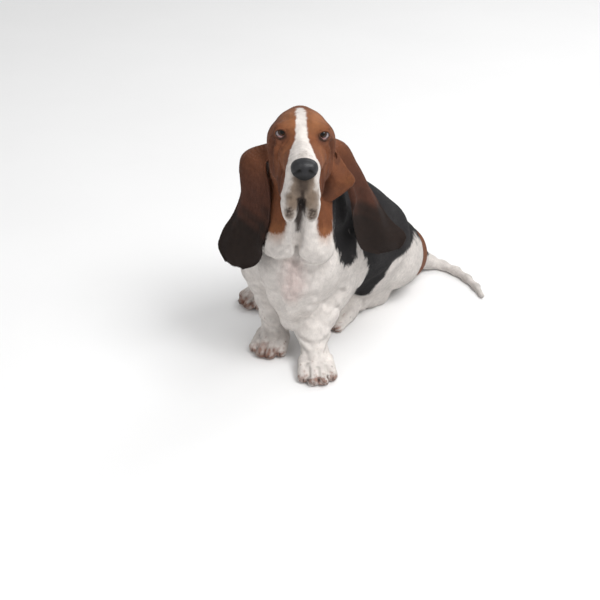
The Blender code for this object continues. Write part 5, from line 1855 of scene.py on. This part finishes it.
class HOUND_OT_claws(bpy.types.Operator):
    """Make the sixteen blunt claws"""

    bl_idname = "hound.claws"
    bl_label = "Claws"
    bl_options = {"REGISTER", "UNDO"}

    def execute(self, context):
        horn = tuple(context.scene.hound_colours.claw)
        finish = mottled_material("claw horn", horn, tuple(part * 0.5 for part in horn), 260.0, 0.35)
        size = context.scene.hound_sizes.claw
        for kind, legs in (("fore", FORE_LEGS), ("hind", HIND_LEGS)):
            for side, leg in legs.items():
                made = [self.claw(*toe_line(leg["paw"], leg["heading"], toe), size) for toe in TOES]
                deselect_all()
                for claw in made:
                    claw.select_set(True)
                bpy.context.view_layer.objects.active = made[0]
                bpy.ops.object.join()
                made[0].name = f"claws_{kind}_{side}"
                made[0].data.materials.append(finish)
                set_down(made[0], "nose_leather")
        return {"FINISHED"}

    def claw(self, knuckle, tip, size):
        """One bent horn, a ring swept along a curve and narrowed on the way."""
        along = Vector((tip.x - knuckle.x, tip.y - knuckle.y, 0.0)).normalized()
        side = along.cross(Vector((0, 0, 1))).normalized()
        points, faces, rings = [], [], 10
        steps = 9
        for step in range(steps):
            share = step / (steps - 1)
            place = tip + along * (0.0060 + size * 0.86 * share) + Vector((0, 0, 0.0030 + 0.001 * share))
            place -= Vector((0, 0, 0.0085 * share * share))
            width = 0.0038 * (1 - 0.72 * share**1.4)
            lean = math.radians(62) * share
            up = Vector((0, 0, math.cos(lean))) + along * math.sin(lean)
            for corner in range(rings):
                angle = 2 * math.pi * corner / rings
                points.append((place + width * (side * 0.72 * math.cos(angle) + up * math.sin(angle)))[:])
        for step in range(steps - 1):
            for corner in range(rings):
                other = (corner + 1) % rings
                faces.append((step * rings + corner, step * rings + other,
                              (step + 1) * rings + other, (step + 1) * rings + corner))
        faces.append(tuple(range(rings - 1, -1, -1)))
        faces.append(tuple((steps - 1) * rings + corner for corner in range(rings)))
        points = [(x, y, max(z, 0.0006)) for x, y, z in points]
        made = object_from("claw", points, faces)
        make_active(made)
        bpy.ops.object.mode_set(mode="EDIT")
        bpy.ops.mesh.select_all(action="SELECT")
        bpy.ops.mesh.normals_make_consistent(inside=False)
        bpy.ops.object.mode_set(mode="OBJECT")
        return made


class HOUND_OT_stage(bpy.types.Operator):
    """Set the pale floor, the soft lights and the camera"""

    bl_idname = "hound.stage"
    bl_label = "Stage"
    bl_options = {"REGISTER", "UNDO"}

    def execute(self, context):
        deselect_all()
        bpy.ops.mesh.primitive_plane_add(size=24.0, location=(0, 0, 0))
        floor = bpy.context.object
        floor.name = "floor"
        pale = tuple(context.scene.hound_colours.floor)
        floor.data.materials.append(
            mottled_material("pale floor", pale, tuple(part * 0.985 for part in pale), 3.0, 0.9)
        )
        world = bpy.data.worlds.new("studio")
        world.use_nodes = True
        world.node_tree.nodes["Background"].inputs["Color"].default_value = (1.0, 1.0, 1.0, 1.0)
        world.node_tree.nodes["Background"].inputs["Strength"].default_value = 0.54
        context.scene.world = world
        context.scene.view_settings.view_transform = "Standard"
        self.area("key", (1.3, -1.6, 3.1), 1.6, 92.0)
        self.area("fill", (-2.2, -2.0, 1.6), 2.4, 9.0)
        self.area("back", (1.6, 2.0, 2.6), 2.0, 31.0)
        camera = bpy.data.cameras.new("camera")
        camera.lens = 78.0
        camera.sensor_width = 36.0
        placed = bpy.data.objects.new("camera", camera)
        context.scene.collection.objects.link(placed)
        placed.location = Vector((0.01198795, -2.19146273, 1.39905232)) + SET_DOWN
        placed.rotation_euler = (math.radians(60.0), 0.0, 0.0)
        context.scene.camera = placed
        return {"FINISHED"}

    def area(self, name, place, size, power):
        light = bpy.data.lights.new(name, "AREA")
        light.size = size
        light.energy = power
        placed = bpy.data.objects.new(name, light)
        bpy.context.scene.collection.objects.link(placed)
        placed.location = place
        placed.rotation_euler = (Vector((0, 0, 0.25)) - Vector(place)).to_track_quat("-Z", "Y").to_euler()


class HOUND_PT_panel(bpy.types.Panel):
    """The steps of the dog's looks, in order"""

    bl_idname = "HOUND_PT_panel"
    bl_label = "Basset hound"
    bl_space_type = "VIEW_3D"
    bl_region_type = "UI"
    bl_category = "Hound"

    def draw(self, context):
        layout = self.layout
        for operator in STEPS:
            layout.operator(operator.bl_idname)
        for group, label in ((context.scene.hound_sizes, "Sizes"), (context.scene.hound_coat, "Coat"),
                             (context.scene.hound_colours, "Colours")):
            box = layout.box()
            box.label(text=label)
            for name in group.__annotations__:
                box.prop(group, name)


STEPS = (HOUND_OT_skin, HOUND_OT_eyes, HOUND_OT_nose, HOUND_OT_claws, HOUND_OT_coat, HOUND_OT_stage)
GROUPS = {"hound_sizes": HoundSizes, "hound_coat": HoundCoat, "hound_colours": HoundColours}


def register():
    for group in GROUPS.values():
        bpy.utils.register_class(group)
    for name, group in GROUPS.items():
        setattr(bpy.types.Scene, name, PointerProperty(type=group))
    for step in (*STEPS, HOUND_PT_panel):
        bpy.utils.register_class(step)


def unregister():
    for step in reversed((*STEPS, HOUND_PT_panel)):
        bpy.utils.unregister_class(step)
    for name, group in GROUPS.items():
        delattr(bpy.types.Scene, name)
        bpy.utils.unregister_class(group)


def main():
    register()
    bpy.ops.hound.skin()
    bpy.ops.hound.eyes()
    bpy.ops.hound.nose()
    bpy.ops.hound.claws()
    bpy.ops.hound.coat()
    bpy.ops.hound.stage()


if __name__ == "__main__":
    main()
